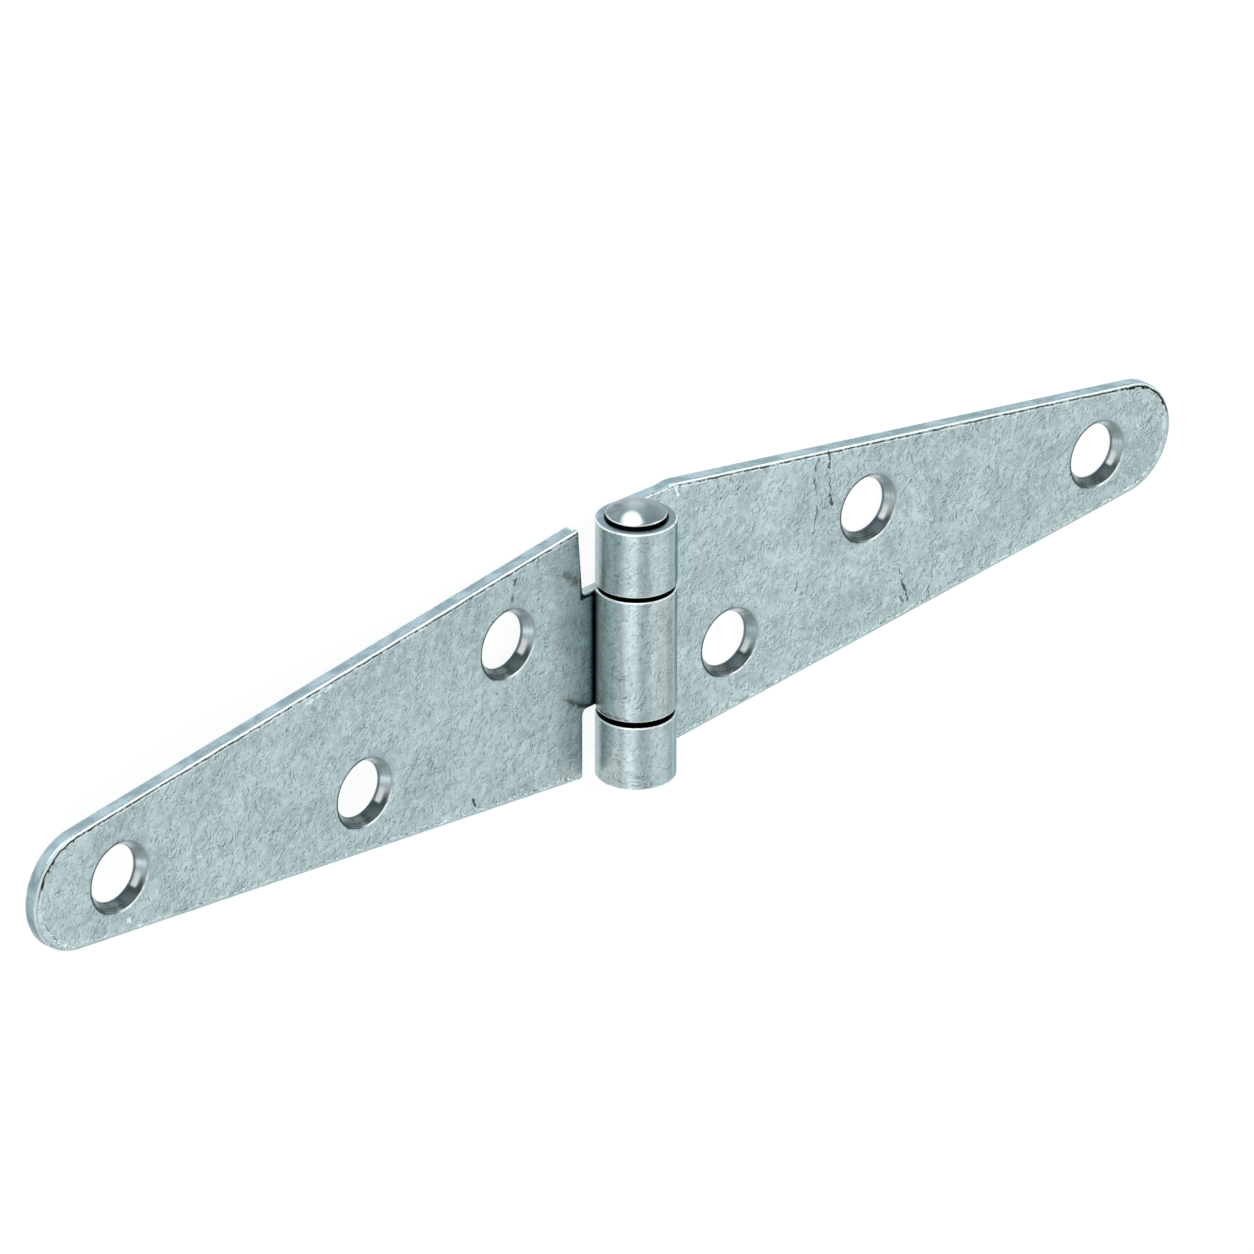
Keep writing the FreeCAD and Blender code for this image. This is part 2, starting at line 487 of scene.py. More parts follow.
def noise(tree, place, scale, detail=2.0, rough=0.5, distort=0.0, seed=0.0):
    node = put(tree, "ShaderNodeTexNoise",
               {"Vector": place, "W": seed, "Scale": scale, "Detail": detail, "Roughness": rough,
                "Distortion": distort}, noise_dimensions="4D")
    return node.outputs["Fac"]


def blend(tree, amount, first, second):
    node = put(tree, "ShaderNodeMix", None, data_type="RGBA")
    for key, value in ((0, amount), (6, first), (7, second)):
        if isinstance(value, bpy.types.NodeSocket):
            tree.links.new(value, node.inputs[key])
        elif key == 0:
            node.inputs[0].default_value = value
        else:
            node.inputs[key].default_value = (*value, 1.0)
    return node.outputs[2]


def new_group(name, inputs, outputs):
    group = bpy.data.node_groups.new(name, "ShaderNodeTree")
    for label, kind in inputs:
        group.interface.new_socket(name=label, in_out="INPUT", socket_type="NodeSocket" + kind)
    for label in outputs:
        group.interface.new_socket(name=label, in_out="OUTPUT", socket_type="NodeSocketFloat")
    start = group.nodes.new("NodeGroupInput")
    end = group.nodes.new("NodeGroupOutput")
    return group, start, end


def use_group(tree, group, inputs):
    node = tree.nodes.new("ShaderNodeGroup")
    node.node_tree = group
    for key, value in inputs.items():
        if isinstance(value, bpy.types.NodeSocket):
            tree.links.new(value, node.inputs[key])
        else:
            node.inputs[key].default_value = value
    return node


def vector_calc(tree, operation, first, second):
    return put(tree, "ShaderNodeVectorMath", {0: first, 1: second}, operation=operation)


def strongest(tree, values):
    top = values[0]
    for value in values[1:]:
        top = calc(tree, "MAXIMUM", top, value)
    return top


def product(tree, *values):
    total = values[0]
    for value in values[1:]:
        total = calc(tree, "MULTIPLY", total, value)
    return total


# %% [markdown]
# The zinc's own texture is one group, used on every plated surface. Its parts come out as separate
# masks, so that each material can weigh them. It starts with the bloom, the broad light and dark
# patches of zinc crystals: three noises, from centimetres wide to a millimetre, added up round
# zero. An image would show its repeats on a leaf this long, and a noise never does.

# %% Zinc texture: bloom
zinc_texture, start, end = new_group(
    "Zinc texture", [("Place", "Vector"), ("Seed", "Float")],
    ["Bloom", "Worm lit side", "Worm shade and arcs", "Pit", "Grain", "Relief"])
place, seed = start.outputs["Place"], start.outputs["Seed"]
tree = zinc_texture

broad = noise(tree, place, 0.14, 3, 0.6, 0.6, seed)
patch = noise(tree, place, 0.50, 3, 0.65, 1.4, seed)
fleck = noise(tree, place, 1.7, 3, 0.65, 1.0, calc(tree, "ADD", seed, 2.0))
bloom = calc(tree, "MULTIPLY", calc(tree, "SUBTRACT", broad, 0.5), 1.1)
bloom = calc(tree, "MULTIPLY_ADD", calc(tree, "SUBTRACT", patch, 0.5), 1.5, bloom)
bloom = calc(tree, "MULTIPLY_ADD", calc(tree, "SUBTRACT", fleck, 0.5), 1.0, bloom)
print("bloom nodes", len(tree.nodes))

# %% [markdown]
# The short curled marks (worms) are the level lines of a noise, drawn twice, a little apart: one
# minus the other is light on one side and dark on the other, as a small ridge looks under a lamp.
# Two sizes are drawn, and a slower noise gates each, so they come in groups. Bump alone would give
# the same ridges, but so fine a relief flickers from a step away, and a drawn side holds.

# %% Zinc texture: curls
def ridge(tree, place, seed, scale, lines):
    curl = noise(tree, place, scale, 2, 0.5, 2.0, seed)
    level = calc(tree, "FRACT", calc(tree, "MULTIPLY", curl, lines))
    return fade(tree, calc(tree, "ABSOLUTE", calc(tree, "SUBTRACT", level, 0.5)), 0.03, 0.20, 1.0, 0.0)


beside = vector_calc(tree, "ADD", place, (-0.12, 0.10, 0.05)).outputs[0]
emboss, ridges = None, None
for scale, lines, shift, low, high in ((0.62, 2.8, 0.0, 0.40, 0.54), (1.10, 2.4, 20.0, 0.43, 0.56)):
    layer_seed = calc(tree, "ADD", seed, shift)
    near_ridge = ridge(tree, place, layer_seed, scale, lines)
    far_ridge = ridge(tree, beside, layer_seed, scale, lines)
    gate = noise(tree, place, 0.9, 2, 0.6, 0.0, calc(tree, "ADD", layer_seed, 7.0))
    layer = product(tree, calc(tree, "SUBTRACT", near_ridge, far_ridge), fade(tree, gate, low, high))
    emboss = layer if emboss is None else calc(tree, "ADD", emboss, layer)
    ridges = near_ridge if ridges is None else calc(tree, "ADD", ridges, near_ridge)
print("with curls", len(tree.nodes))

# %% [markdown]
# Between the curls the crystals meet in cobbles a millimetre or so wide. They are a Voronoi
# pattern whose places are bent by a noise. Its slopes are shaded as the ridges are, and parts of
# its borders are drawn as thin dark arcs. Both join the worms' light and dark masks.

# %% Zinc texture: cobbles
wavy = put(tree, "ShaderNodeTexNoise", {"Vector": place, "Scale": 1.1, "Detail": 2.0})
wavy_shift = vector_calc(tree, "SUBTRACT", wavy.outputs["Color"], (0.5, 0.5, 0.5)).outputs[0]


def cobble(tree, place, kind):
    bent = put(tree, "ShaderNodeVectorMath", {0: wavy_shift, 1: (1.6, 1.6, 1.6), 2: place},
               operation="MULTIPLY_ADD")
    cell = put(tree, "ShaderNodeTexVoronoi", {"Vector": bent.outputs[0], "Scale": 0.85}, feature=kind)
    return cell.outputs["Distance"]


slope = calc(tree, "SUBTRACT", cobble(tree, place, "F1"), cobble(tree, beside, "F1"))
broken_edge = fade(tree, noise(tree, place, 0.8, 3, 0.6, 0.0, calc(tree, "ADD", seed, 31.0)), 0.50, 0.62)
arc = product(tree, fade(tree, cobble(tree, place, "DISTANCE_TO_EDGE"), 0.07, 0.015), broken_edge)
# Painted light and shade: the lit and shaded sides of the ridges and cobbles.
emboss = calc(tree, "MULTIPLY_ADD", slope, 1.5, emboss)
worm_lit_side = calc(tree, "MAXIMUM", emboss, 0.0)
worm_shade_and_arcs = calc(tree, "MAXIMUM", calc(tree, "MULTIPLY", emboss, -1.0), product(tree, arc, 0.6))
print("with cobbles", len(tree.nodes))

# %% [markdown]
# Small dark pits are cells of another Voronoi pattern. Each cell's random colour sets its pit's
# size, and most get none. A fine grain covers the rest. The relief for the bump adds the ridges,
# the patches and the grain.

# %% Zinc texture: pits, grain and relief
jitter = put(tree, "ShaderNodeTexNoise", {"Vector": place, "Scale": 3.0, "Detail": 2.0})
jitter_shift = vector_calc(tree, "SUBTRACT", jitter.outputs["Color"], (0.5, 0.5, 0.5)).outputs[0]
pit_place = vector_calc(tree, "ADD", place, jitter_shift).outputs[0]
cells = put(tree, "ShaderNodeTexVoronoi", {"Vector": pit_place, "Scale": 0.55, "Randomness": 1.0})
cell_pick = put(tree, "ShaderNodeSeparateColor", {"Color": cells.outputs["Color"]}).outputs["Red"]
pit_size = fade(tree, cell_pick, 0.30, 1.0, 0.0, 0.12)
pit = fade(tree, calc(tree, "SUBTRACT", cells.outputs["Distance"], pit_size), -0.045, 0.0, 1.0, 0.0)
grain = calc(tree, "SUBTRACT", noise(tree, place, 6.0, 3, 0.7, 0.0, seed), 0.5)
relief = calc(tree, "MULTIPLY_ADD", ridges, 0.12, calc(tree, "MULTIPLY", patch, 0.5))
relief = calc(tree, "MULTIPLY_ADD", grain, 0.12, relief)
for label, value in (("Bloom", bloom), ("Worm lit side", worm_lit_side), ("Worm shade and arcs", worm_shade_and_arcs),
                     ("Pit", pit), ("Grain", grain), ("Relief", relief)):
    tree.links.new(value, end.inputs[label])
print("zinc texture nodes", len(tree.nodes))

# %% [markdown]
# A crack in the plating is a chain of short straight marks. One group draws a mark between two
# points, by the distance from the line that joins them. A noise shifts the place first, so the
# mark wanders and its edge is uneven. The leaf's material takes the strongest of its marks.

# %% Mark group
mark_group, start, end = new_group(
    "Mark", [("Place", "Vector"), ("From", "Vector"), ("To", "Vector"), ("Width", "Float")], ["Mark"])
tree = mark_group
wander = put(tree, "ShaderNodeTexNoise", {"Vector": start.outputs["Place"], "Scale": 1.6, "Detail": 3.0})
wander_shift = vector_calc(tree, "SUBTRACT", wander.outputs["Color"], (0.5, 0.5, 0.5)).outputs[0]
shifted = vector_calc(tree, "ADD", start.outputs["Place"], wander_shift).outputs[0]
flat = vector_calc(tree, "MULTIPLY", shifted, (1, 1, 0)).outputs[0]
along_line = vector_calc(tree, "SUBTRACT", start.outputs["To"], start.outputs["From"]).outputs[0]
from_start = vector_calc(tree, "SUBTRACT", flat, start.outputs["From"]).outputs[0]
reach_along = vector_calc(tree, "DOT_PRODUCT", from_start, along_line).outputs["Value"]
length_squared = vector_calc(tree, "DOT_PRODUCT", along_line, along_line).outputs["Value"]
share = calc(tree, "DIVIDE", reach_along, length_squared, clamp=True)
nearest = put(tree, "ShaderNodeVectorMath", {0: along_line, "Scale": share}, operation="SCALE").outputs[0]
gap = vector_calc(tree, "DISTANCE", from_start, nearest).outputs["Value"]
edge = calc(tree, "DIVIDE", gap, start.outputs["Width"])
tree.links.new(fade(tree, edge, 0.35, 1.0, 1.0, 0.0), end.inputs["Mark"])
print("mark nodes", len(tree.nodes))

# %% [markdown]
# Much of the wear follows the blank's outline. This group measures how far in from the outline a
# point lies: two straight sides, each given by its outward normal, and the round tip.

# %% Edge distance group
edge_group, start, end = new_group(
    "Edge distance", [("Place", "Vector"), ("Upper", "Vector"), ("Lower", "Vector"), ("Tip", "Vector")],
    ["Upper side", "Lower side", "Nearest"])
tree = edge_group
flat = vector_calc(tree, "MULTIPLY", start.outputs["Place"], (1, 1, 0)).outputs[0]
from_tip = vector_calc(tree, "SUBTRACT", flat, start.outputs["Tip"]).outputs[0]
tip_reach = tip_radius * 1000
sides = {}
for label in ("Upper", "Lower"):
    outward = vector_calc(tree, "DOT_PRODUCT", from_tip, start.outputs[label]).outputs["Value"]
    sides[label] = calc(tree, "SUBTRACT", tip_reach, outward)
    tree.links.new(sides[label], end.inputs[label + " side"])
past_tip = put(tree, "ShaderNodeSeparateXYZ", {"Vector": from_tip}).outputs["X"]
from_centre = vector_calc(tree, "LENGTH", from_tip, (0, 0, 0)).outputs["Value"]
round_tip = calc(tree, "SUBTRACT", tip_reach, from_centre)
before_tip = calc(tree, "LESS_THAN", past_tip, 0.0)
round_tip = calc(tree, "MULTIPLY_ADD", before_tip, 100.0, round_tip)
nearest = calc(tree, "MINIMUM", calc(tree, "MINIMUM", sides["Upper"], sides["Lower"]), round_tip)
tree.links.new(nearest, end.inputs["Nearest"])
print("edge distance nodes", len(tree.nodes))

# %% [markdown]
# A last group gives the distance to the nearest of three screw holes, and the direction of the
# point from that hole's middle, for the marks that go round a hole.

# %% Hole distance group
hole_group, start, end = new_group(
    "Hole distance", [("Place", "Vector"), ("First", "Vector"), ("Second", "Vector"), ("Third", "Vector")],
    ["Reach", "East", "North"])
tree = hole_group
reach, compass = None, None
for label in ("First", "Second", "Third"):
    from_hole = vector_calc(tree, "SUBTRACT", start.outputs["Place"], start.outputs[label]).outputs[0]
    level = vector_calc(tree, "MULTIPLY", from_hole, (1, 1, 0)).outputs[0]
    here = vector_calc(tree, "LENGTH", level, (0, 0, 0)).outputs["Value"]
    outward = vector_calc(tree, "NORMALIZE", level, (0, 0, 0)).outputs[0]
    if reach is None:
        reach, compass = here, outward
    else:
        closer = calc(tree, "LESS_THAN", here, reach)
        reach = calc(tree, "MINIMUM", reach, here)
        choice = put(tree, "ShaderNodeMix", {0: closer, 4: compass, 5: outward}, data_type="VECTOR")
        compass = choice.outputs[1]
compass = put(tree, "ShaderNodeSeparateXYZ", {"Vector": compass})
tree.links.new(reach, end.inputs["Reach"])
tree.links.new(compass.outputs["X"], end.inputs["East"])
tree.links.new(compass.outputs["Y"], end.inputs["North"])
print("hole distance nodes", len(tree.nodes))


def round_hole(tree, place, fold, centres):
    """The nearest hole's distance, the direction from it, and the cosine from any bearing."""
    spots = {label: (x * 1000, y * 1000, 0)
             for label, (x, y) in zip(("First", "Second", "Third"), centres)}
    hole = use_group(tree, hole_group, {"Place": place, **spots})
    ahead = {"X": hole.outputs["East"], "Y": hole.outputs["North"]}
    compass = put(tree, "ShaderNodeCombineXYZ", ahead).outputs[0]

    def toward(degrees):
        angle = math.radians(degrees) + (math.pi if fold else 0)
        bearing = (math.cos(angle), math.sin(angle), 0)
        return vector_calc(tree, "DOT_PRODUCT", compass, bearing).outputs["Value"]

    return hole.outputs["Reach"], compass, toward


# %% [markdown]
# Both leaves share one recipe, and each gets its own material from it. The places are read in the
# leaf's flat frame, so that a mark's numbers are distances on the flat blank: X from the pin's
# line, Y along the pin and Z up from the back. A Mapping node brings the turned and folded centre
# leaf back to that frame, and another does the same for its normals.

# %% Read places in a leaf's flat frame
zinc_light = (0.72, 0.86, 0.88)
zinc_dark = (0.13, 0.18, 0.19)
# Near black for painted shade: gaps, bores, seats, corners and dark lines by the rims.
painted_shade_black = (0.012, 0.016, 0.017)
shine_white = (0.95, 1.0, 1.0)


def flat_place(tree, fold):
    """Millimetres in the leaf's own flat frame, whether or not it is turned round and folded."""
    object_place = tree.nodes.new("ShaderNodeTexCoord").outputs["Object"]
    turn, shift = (0, 0, 0), (0, 0, 0)
    if fold:
        middle = pin_middle * 1000
        back = Matrix.Rotation(-fold, 3, "Y")
        turn = (0, -fold, math.pi)
        shift = Matrix.Rotation(math.pi, 3, "Z") @ (middle - back @ middle)
    mapping = put(tree, "ShaderNodeMapping", {"Vector": object_place, "Location": shift,
                                              "Rotation": turn, "Scale": (1000, 1000, 1000)})
    return mapping.outputs["Vector"]


def flat_normal(tree, fold):
    object_normal = tree.nodes.new("ShaderNodeTexCoord").outputs["Normal"]
    turn = (0, -fold, math.pi) if fold else (0, 0, 0)
    return put(tree, "ShaderNodeMapping", {"Vector": object_normal, "Rotation": turn}).outputs["Vector"]


def new_material(name):
    material = bpy.data.materials.new(name)
    material.use_nodes = True
    tree = material.node_tree
    tree.nodes.clear()
    output = tree.nodes.new("ShaderNodeOutputMaterial")
    steel = tree.nodes.new("ShaderNodeBsdfPrincipled")
    tree.links.new(steel.outputs["BSDF"], output.inputs["Surface"])
    return material, tree, steel


def read_leaf(tree, fold, seed):
    """The sockets that every later step asks for: where a point lies and which way it faces."""
    place = flat_place(tree, fold)
    part = put(tree, "ShaderNodeSeparateXYZ", {"Vector": place}).outputs
    normal = put(tree, "ShaderNodeSeparateXYZ", {"Vector": flat_normal(tree, fold)}).outputs
    on_barrel = fade(tree, part["Z"], 1.45, 1.9)
    upright = calc(tree, "ABSOLUTE", normal["Z"])
    from_pin = vector_calc(tree, "SUBTRACT", place, pin_middle * 1000).outputs[0]
    across = vector_calc(tree, "MULTIPLY", from_pin, (1, 0, 1)).outputs[0]
    near = fade(tree, calc(tree, "MULTIPLY", part["Y"], 1.0 if fold else -1.0), -2.5, 0.5)
    return SimpleNamespace(
        fold=fold, seed=seed, place=place, x=part["X"], y=part["Y"], z=part["Z"], normal=normal,
        on_barrel=on_barrel,
        facing=fade(tree, normal["Z"], 0.93, 0.99),
        wall=product(tree, fade(tree, upright, 0.25, 0.12), fade(tree, on_barrel, 0.0, 1.0, 1.0, 0.0)),
        radius=vector_calc(tree, "LENGTH", across, (0, 0, 0)).outputs["Value"],
        leftward=calc(tree, "MULTIPLY", normal["X"], 1.0 if fold else -1.0),
        near=near, far=calc(tree, "SUBTRACT", 1.0, near),
        zinc=use_group(tree, zinc_texture, {"Place": place, "Seed": seed}).outputs,
        beads=noise(tree, place, 1.1, 2, 0.7, 1.0, calc(tree, "ADD", 4.0, seed)))


# %% [markdown]
# The plating's ground is laid first: the broad patches choose between two greys, and curls with their
# painted lit and shaded sides, pits and grain go over them. On the barrel the metal was drawn round a
# mandrel, so there the grain is stronger and runs in streaks along the pin. A streak is a noise whose Y is
# squeezed.

# %% Ground of the plating
def plating_ground(tree, leaf):
    bloom = product(tree, leaf.zinc["Bloom"], fade(tree, leaf.on_barrel, 0.0, 1.0, 1.0, 0.6))
    colour = blend(tree, fade(tree, bloom, -0.55, 0.55), (0.35, 0.46, 0.475), (0.66, 0.815, 0.835))
    curl = fade(tree, leaf.on_barrel, 0.0, 1.0, 1.0, 0.85)
    colour = blend(tree, product(tree, leaf.zinc["Worm lit side"], curl, 0.55), colour, zinc_light)
    colour = blend(tree, product(tree, leaf.zinc["Worm shade and arcs"], curl, 0.75), colour, zinc_dark)
    colour = blend(tree, product(tree, leaf.zinc["Pit"], 0.7), colour, (0.07, 0.09, 0.095))
    drawn_out = vector_calc(tree, "MULTIPLY", leaf.place, (1, 0.12, 1)).outputs[0]
    streak = calc(tree, "SUBTRACT", noise(tree, drawn_out, 1.6, 3, 0.6, 0.0, leaf.seed), 0.5)
    streak_colour = blend(tree, calc(tree, "GREATER_THAN", streak, 0.0), zinc_dark, zinc_light)
    streaky = product(tree, leaf.on_barrel, calc(tree, "ABSOLUTE", streak), 0.9)
    colour = blend(tree, streaky, colour, streak_colour)
    grain_strength = fade(tree, leaf.on_barrel, 0.0, 1.0, 1.1, 2.4)
    light_grain = calc(tree, "MULTIPLY_ADD", leaf.zinc["Grain"], grain_strength, 0.5, clamp=True)
    darker = blend(tree, 0.22, colour, zinc_dark)
    lighter = blend(tree, 0.16, colour, zinc_light)
    return blend(tree, light_grain, darker, lighter), bloom


# %% [markdown]
# Along the outline the zinc ran together as the blank hung to dry. On the side nearer the camera
# it stands as a broken welt half a millimetre in, with painted shade and a painted highlight along
# its line. On the far side a line of painted shade, with a painted highlight beside it, stands for
# the dark and bright reflections of the rounded rim. The rim itself gets a painted highlight and a
# thin dark line at the far outline. All are bands of the distance from the outline, made uneven by a
# noise and broken by the slow noise in `beads`, so they follow the outline wherever it goes.

# %% Welt, painted highlights and painted shade along the rim
def rim_welt_and_painted_light(tree, leaf, colour, corners, reach, tip_offset):
    tip = Vector((reach - tip_radius, tip_offset, 0))
    outward = []
    for corner, side in ((corners[0][0], 1), (corners[-1][0], -1)):
        angle = tip_angle(corner, tip, side)
        outward.append((math.cos(angle), math.sin(angle), 0))
    nearest = use_group(tree, edge_group, {"Place": leaf.place, "Upper": outward[0], "Lower": outward[1],
                                           "Tip": tip * 1000}).outputs["Nearest"]
    unsteady = calc(tree, "SUBTRACT", noise(tree, leaf.place, 0.7, 3, 0.6, 0.0, leaf.seed), 0.5)
    inset = calc(tree, "MULTIPLY_ADD", unsteady, 0.35, nearest)
    at_tip = fade(tree, leaf.x, tip.x * 1000 - 3.0, tip.x * 1000 + 2.0)
    facing, near, far, beads = leaf.facing, leaf.near, leaf.far, leaf.beads

    from_line = calc(tree, "SUBTRACT", inset, calc(tree, "MULTIPLY_ADD", at_tip, 0.35, 0.58))
    welt = product(tree, fade(tree, from_line, 0.07, -0.07), fade(tree, inset, 0.10, 0.22), facing,
                   fade(tree, near, 0.0, 1.0, 0.15, 1.0))
    colour = blend(tree, product(tree, welt, fade(tree, beads, 0.62, 0.42, 0.30, 0.65)), colour, zinc_light)
    # Painted shade and a painted highlight along the welt's line.
    welt_line = product(tree, fade(tree, calc(tree, "ABSOLUTE", from_line), 0.13, 0.04), facing, near)
    welt_shade = product(tree, welt_line, fade(tree, beads, 0.51, 0.59), 0.65)
    colour = blend(tree, welt_shade, colour, (0.08, 0.11, 0.115))
    welt_shine = product(tree, welt_line, fade(tree, beads, 0.48, 0.38), 0.6)
    colour = blend(tree, welt_shine, colour, (0.90, 1.0, 1.0))

    # Painted shade, and a painted highlight beside it, just inside the far rim.
    far_rim_shade_gate = strongest(tree, [fade(tree, beads, 0.62, 0.48), product(tree, at_tip, far)])
    far_rim_shade_start = calc(tree, "SUBTRACT", inset, product(tree, at_tip, far, 0.22))
    far_rim_shade = product(tree, fade(tree, far_rim_shade_start, 0.46, 0.38), fade(tree, inset, 0.24, 0.30),
                     far_rim_shade_gate, facing)
    colour = blend(tree, product(tree, far_rim_shade, fade(tree, far, 0.0, 1.0, 0.12, 1.0)), colour, painted_shade_black)
    far_rim_highlight = product(tree, fade(tree, inset, 0.64, 0.56), fade(tree, inset, 0.44, 0.50),
                          fade(tree, beads, 0.42, 0.54), far, facing)
    colour = blend(tree, product(tree, far_rim_highlight, 0.85), colour, shine_white)

    off_barrel = fade(tree, leaf.on_barrel, 0.6, 0.0)
    # Painted highlight on the rounded rim.
    rim = product(tree, fade(tree, inset, 0.24, 0.17), fade(tree, leaf.normal["Z"], 0.25, 0.5), off_barrel)
    colour = blend(tree, product(tree, rim, fade(tree, far, 0.0, 1.0, 0.5, 0.85)), colour, (0.88, 1.0, 1.0))
    edge_line = product(tree, fade(tree, nearest, 0.09, 0.05), far,
                        fade(tree, leaf.normal["Z"], 0.2, 0.4), off_barrel)
    return blend(tree, product(tree, edge_line, 0.7), colour, (0.10, 0.14, 0.15)), rim, welt


# %% [markdown]
# Each screw hole gets its own marks: a grey halo on one side, a line of painted shade where its
# mouth turns away from the light and a painted highlight where it turns to it. `toward` gives the
# cosine of the angle from a bearing, in degrees from the picture's +X, so a mark covers a part of
# the circle. The beads that stand on the face are lightened as a painted highlight. The sheared
# walls of the blank get their colours here too, and on the centre leaf the notch wall is lightened
# as painted light, with a line of painted shade at its corner.

# %% Holes and walls
mouth_line_radius = 3.73


def hole_marks(tree, leaf, colour, holes):
    from_hole, _, toward = round_hole(tree, leaf.place, leaf.fold, holes)
    from_mouth = calc(tree, "ABSOLUTE", calc(tree, "SUBTRACT", from_hole, mouth_line_radius))
    mouth_line = fade(tree, from_mouth, 0.11, 0.05)
    halo = product(tree, fade(tree, from_hole, 4.35, 3.65), fade(tree, toward(35), 0.2, 0.9), leaf.facing)
    colour = blend(tree, product(tree, halo, 0.5), colour, (0.34, 0.43, 0.45))
    # Painted shade and a painted highlight round each hole's mouth.
    shaded_lip = product(tree, mouth_line, fade(tree, toward(165), 0.05, 0.4), leaf.facing, 0.8)
    colour = blend(tree, shaded_lip, colour, painted_shade_black)
    mouth_painted_highlight = product(tree, mouth_line, fade(tree, toward(-55), 0.70, 0.95), leaf.facing)
    return blend(tree, product(tree, mouth_painted_highlight, 0.8), colour, shine_white)


def wall_tones(tree, leaf, colour):
    # Painted highlight: the raised beads are lightened.
    bead_painted_highlight = product(tree, fade(tree, leaf.z, 1.405, 1.44), fade(tree, leaf.z, 1.62, 1.55))
    colour = blend(tree, product(tree, bead_painted_highlight, 0.4), colour, (0.90, 1.0, 1.0))
    sheared = noise(tree, leaf.place, 0.35, 2, 0.6, 0.4, leaf.seed)
    wall_colour = blend(tree, fade(tree, sheared, 0.38, 0.62), (0.23, 0.34, 0.39), (0.42, 0.56, 0.63))
    colour = blend(tree, product(tree, leaf.wall, 0.9), colour, wall_colour)
    # Painted light on the centre leaf's notch wall, and a line of painted shade at its corner.
    notch_wall_painted_light = product(tree, leaf.wall, fade(tree, leaf.x, 6.0, 5.6), 1.6 if leaf.fold else 0.0)
    if leaf.fold:
        colour = blend(tree, product(tree, notch_wall_painted_light, 0.6), colour, (0.86, 1.0, 1.0))
        notch_painted_shade = product(tree, fade(tree, leaf.normal["Z"], 0.6, 0.8), fade(tree, leaf.x, 5.3, 4.9),
                             fade(tree, leaf.on_barrel, 0.3, 0.0), fade(tree, leaf.y, -5.62, -5.72))
        colour = blend(tree, product(tree, notch_painted_shade, 0.95), colour, painted_shade_black)
    return colour, notch_wall_painted_light


# %% [markdown]
# The larger cracks and bright scratches are drawn one by one, and a noise breaks them up. Then
# come the dark places: the knuckles' facing ends and the bore, which little light reaches.

# %% Cracks and dark gaps
def draw_marks(tree, place, marks):
    """The strongest of some marks, each with its two ends, its width and its strength."""
    drawn = []
    for begin, finish, width, strength in marks:
        mark = use_group(tree, mark_group, {"Place": place, "From": (*begin, 0), "To": (*finish, 0),
                                            "Width": width})
        drawn.append(product(tree, mark.outputs[0], strength))
    return strongest(tree, drawn)


def cracks_and_strokes(tree, leaf, colour, cracks, strokes):
    gaps = fade(tree, noise(tree, leaf.place, 2.0, 2, 0.6, 0.0, 11.0), 0.32, 0.46)
    stroke = product(tree, draw_marks(tree, leaf.place, strokes), gaps, leaf.facing)
    colour = blend(tree, stroke, colour, (0.92, 1.0, 1.0))
    crack = product(tree, draw_marks(tree, leaf.place, cracks), gaps)
    return blend(tree, crack, colour, (0.03, 0.034, 0.034))


def dark_gaps(tree, leaf, colour, gap_edges):
    end_on = fade(tree, calc(tree, "ABSOLUTE", leaf.normal["Y"]), 0.6, 0.9)
    inside = product(tree, end_on, fade(tree, leaf.radius, 3.95, 3.8))
    gaps = []
    for low, high in gap_edges:
        above = fade(tree, leaf.y, low - 0.2, low - 0.1)
        below = fade(tree, leaf.y, high + 0.2, high + 0.1)
        gaps.append(product(tree, inside, above, below))
    colour = blend(tree, strongest(tree, gaps), colour, painted_shade_black)
    bore = product(tree, fade(tree, leaf.radius, 2.75, 2.65), fade(tree, leaf.radius, 2.4, 2.5))
    return blend(tree, product(tree, bore, 0.9), colour, painted_shade_black)
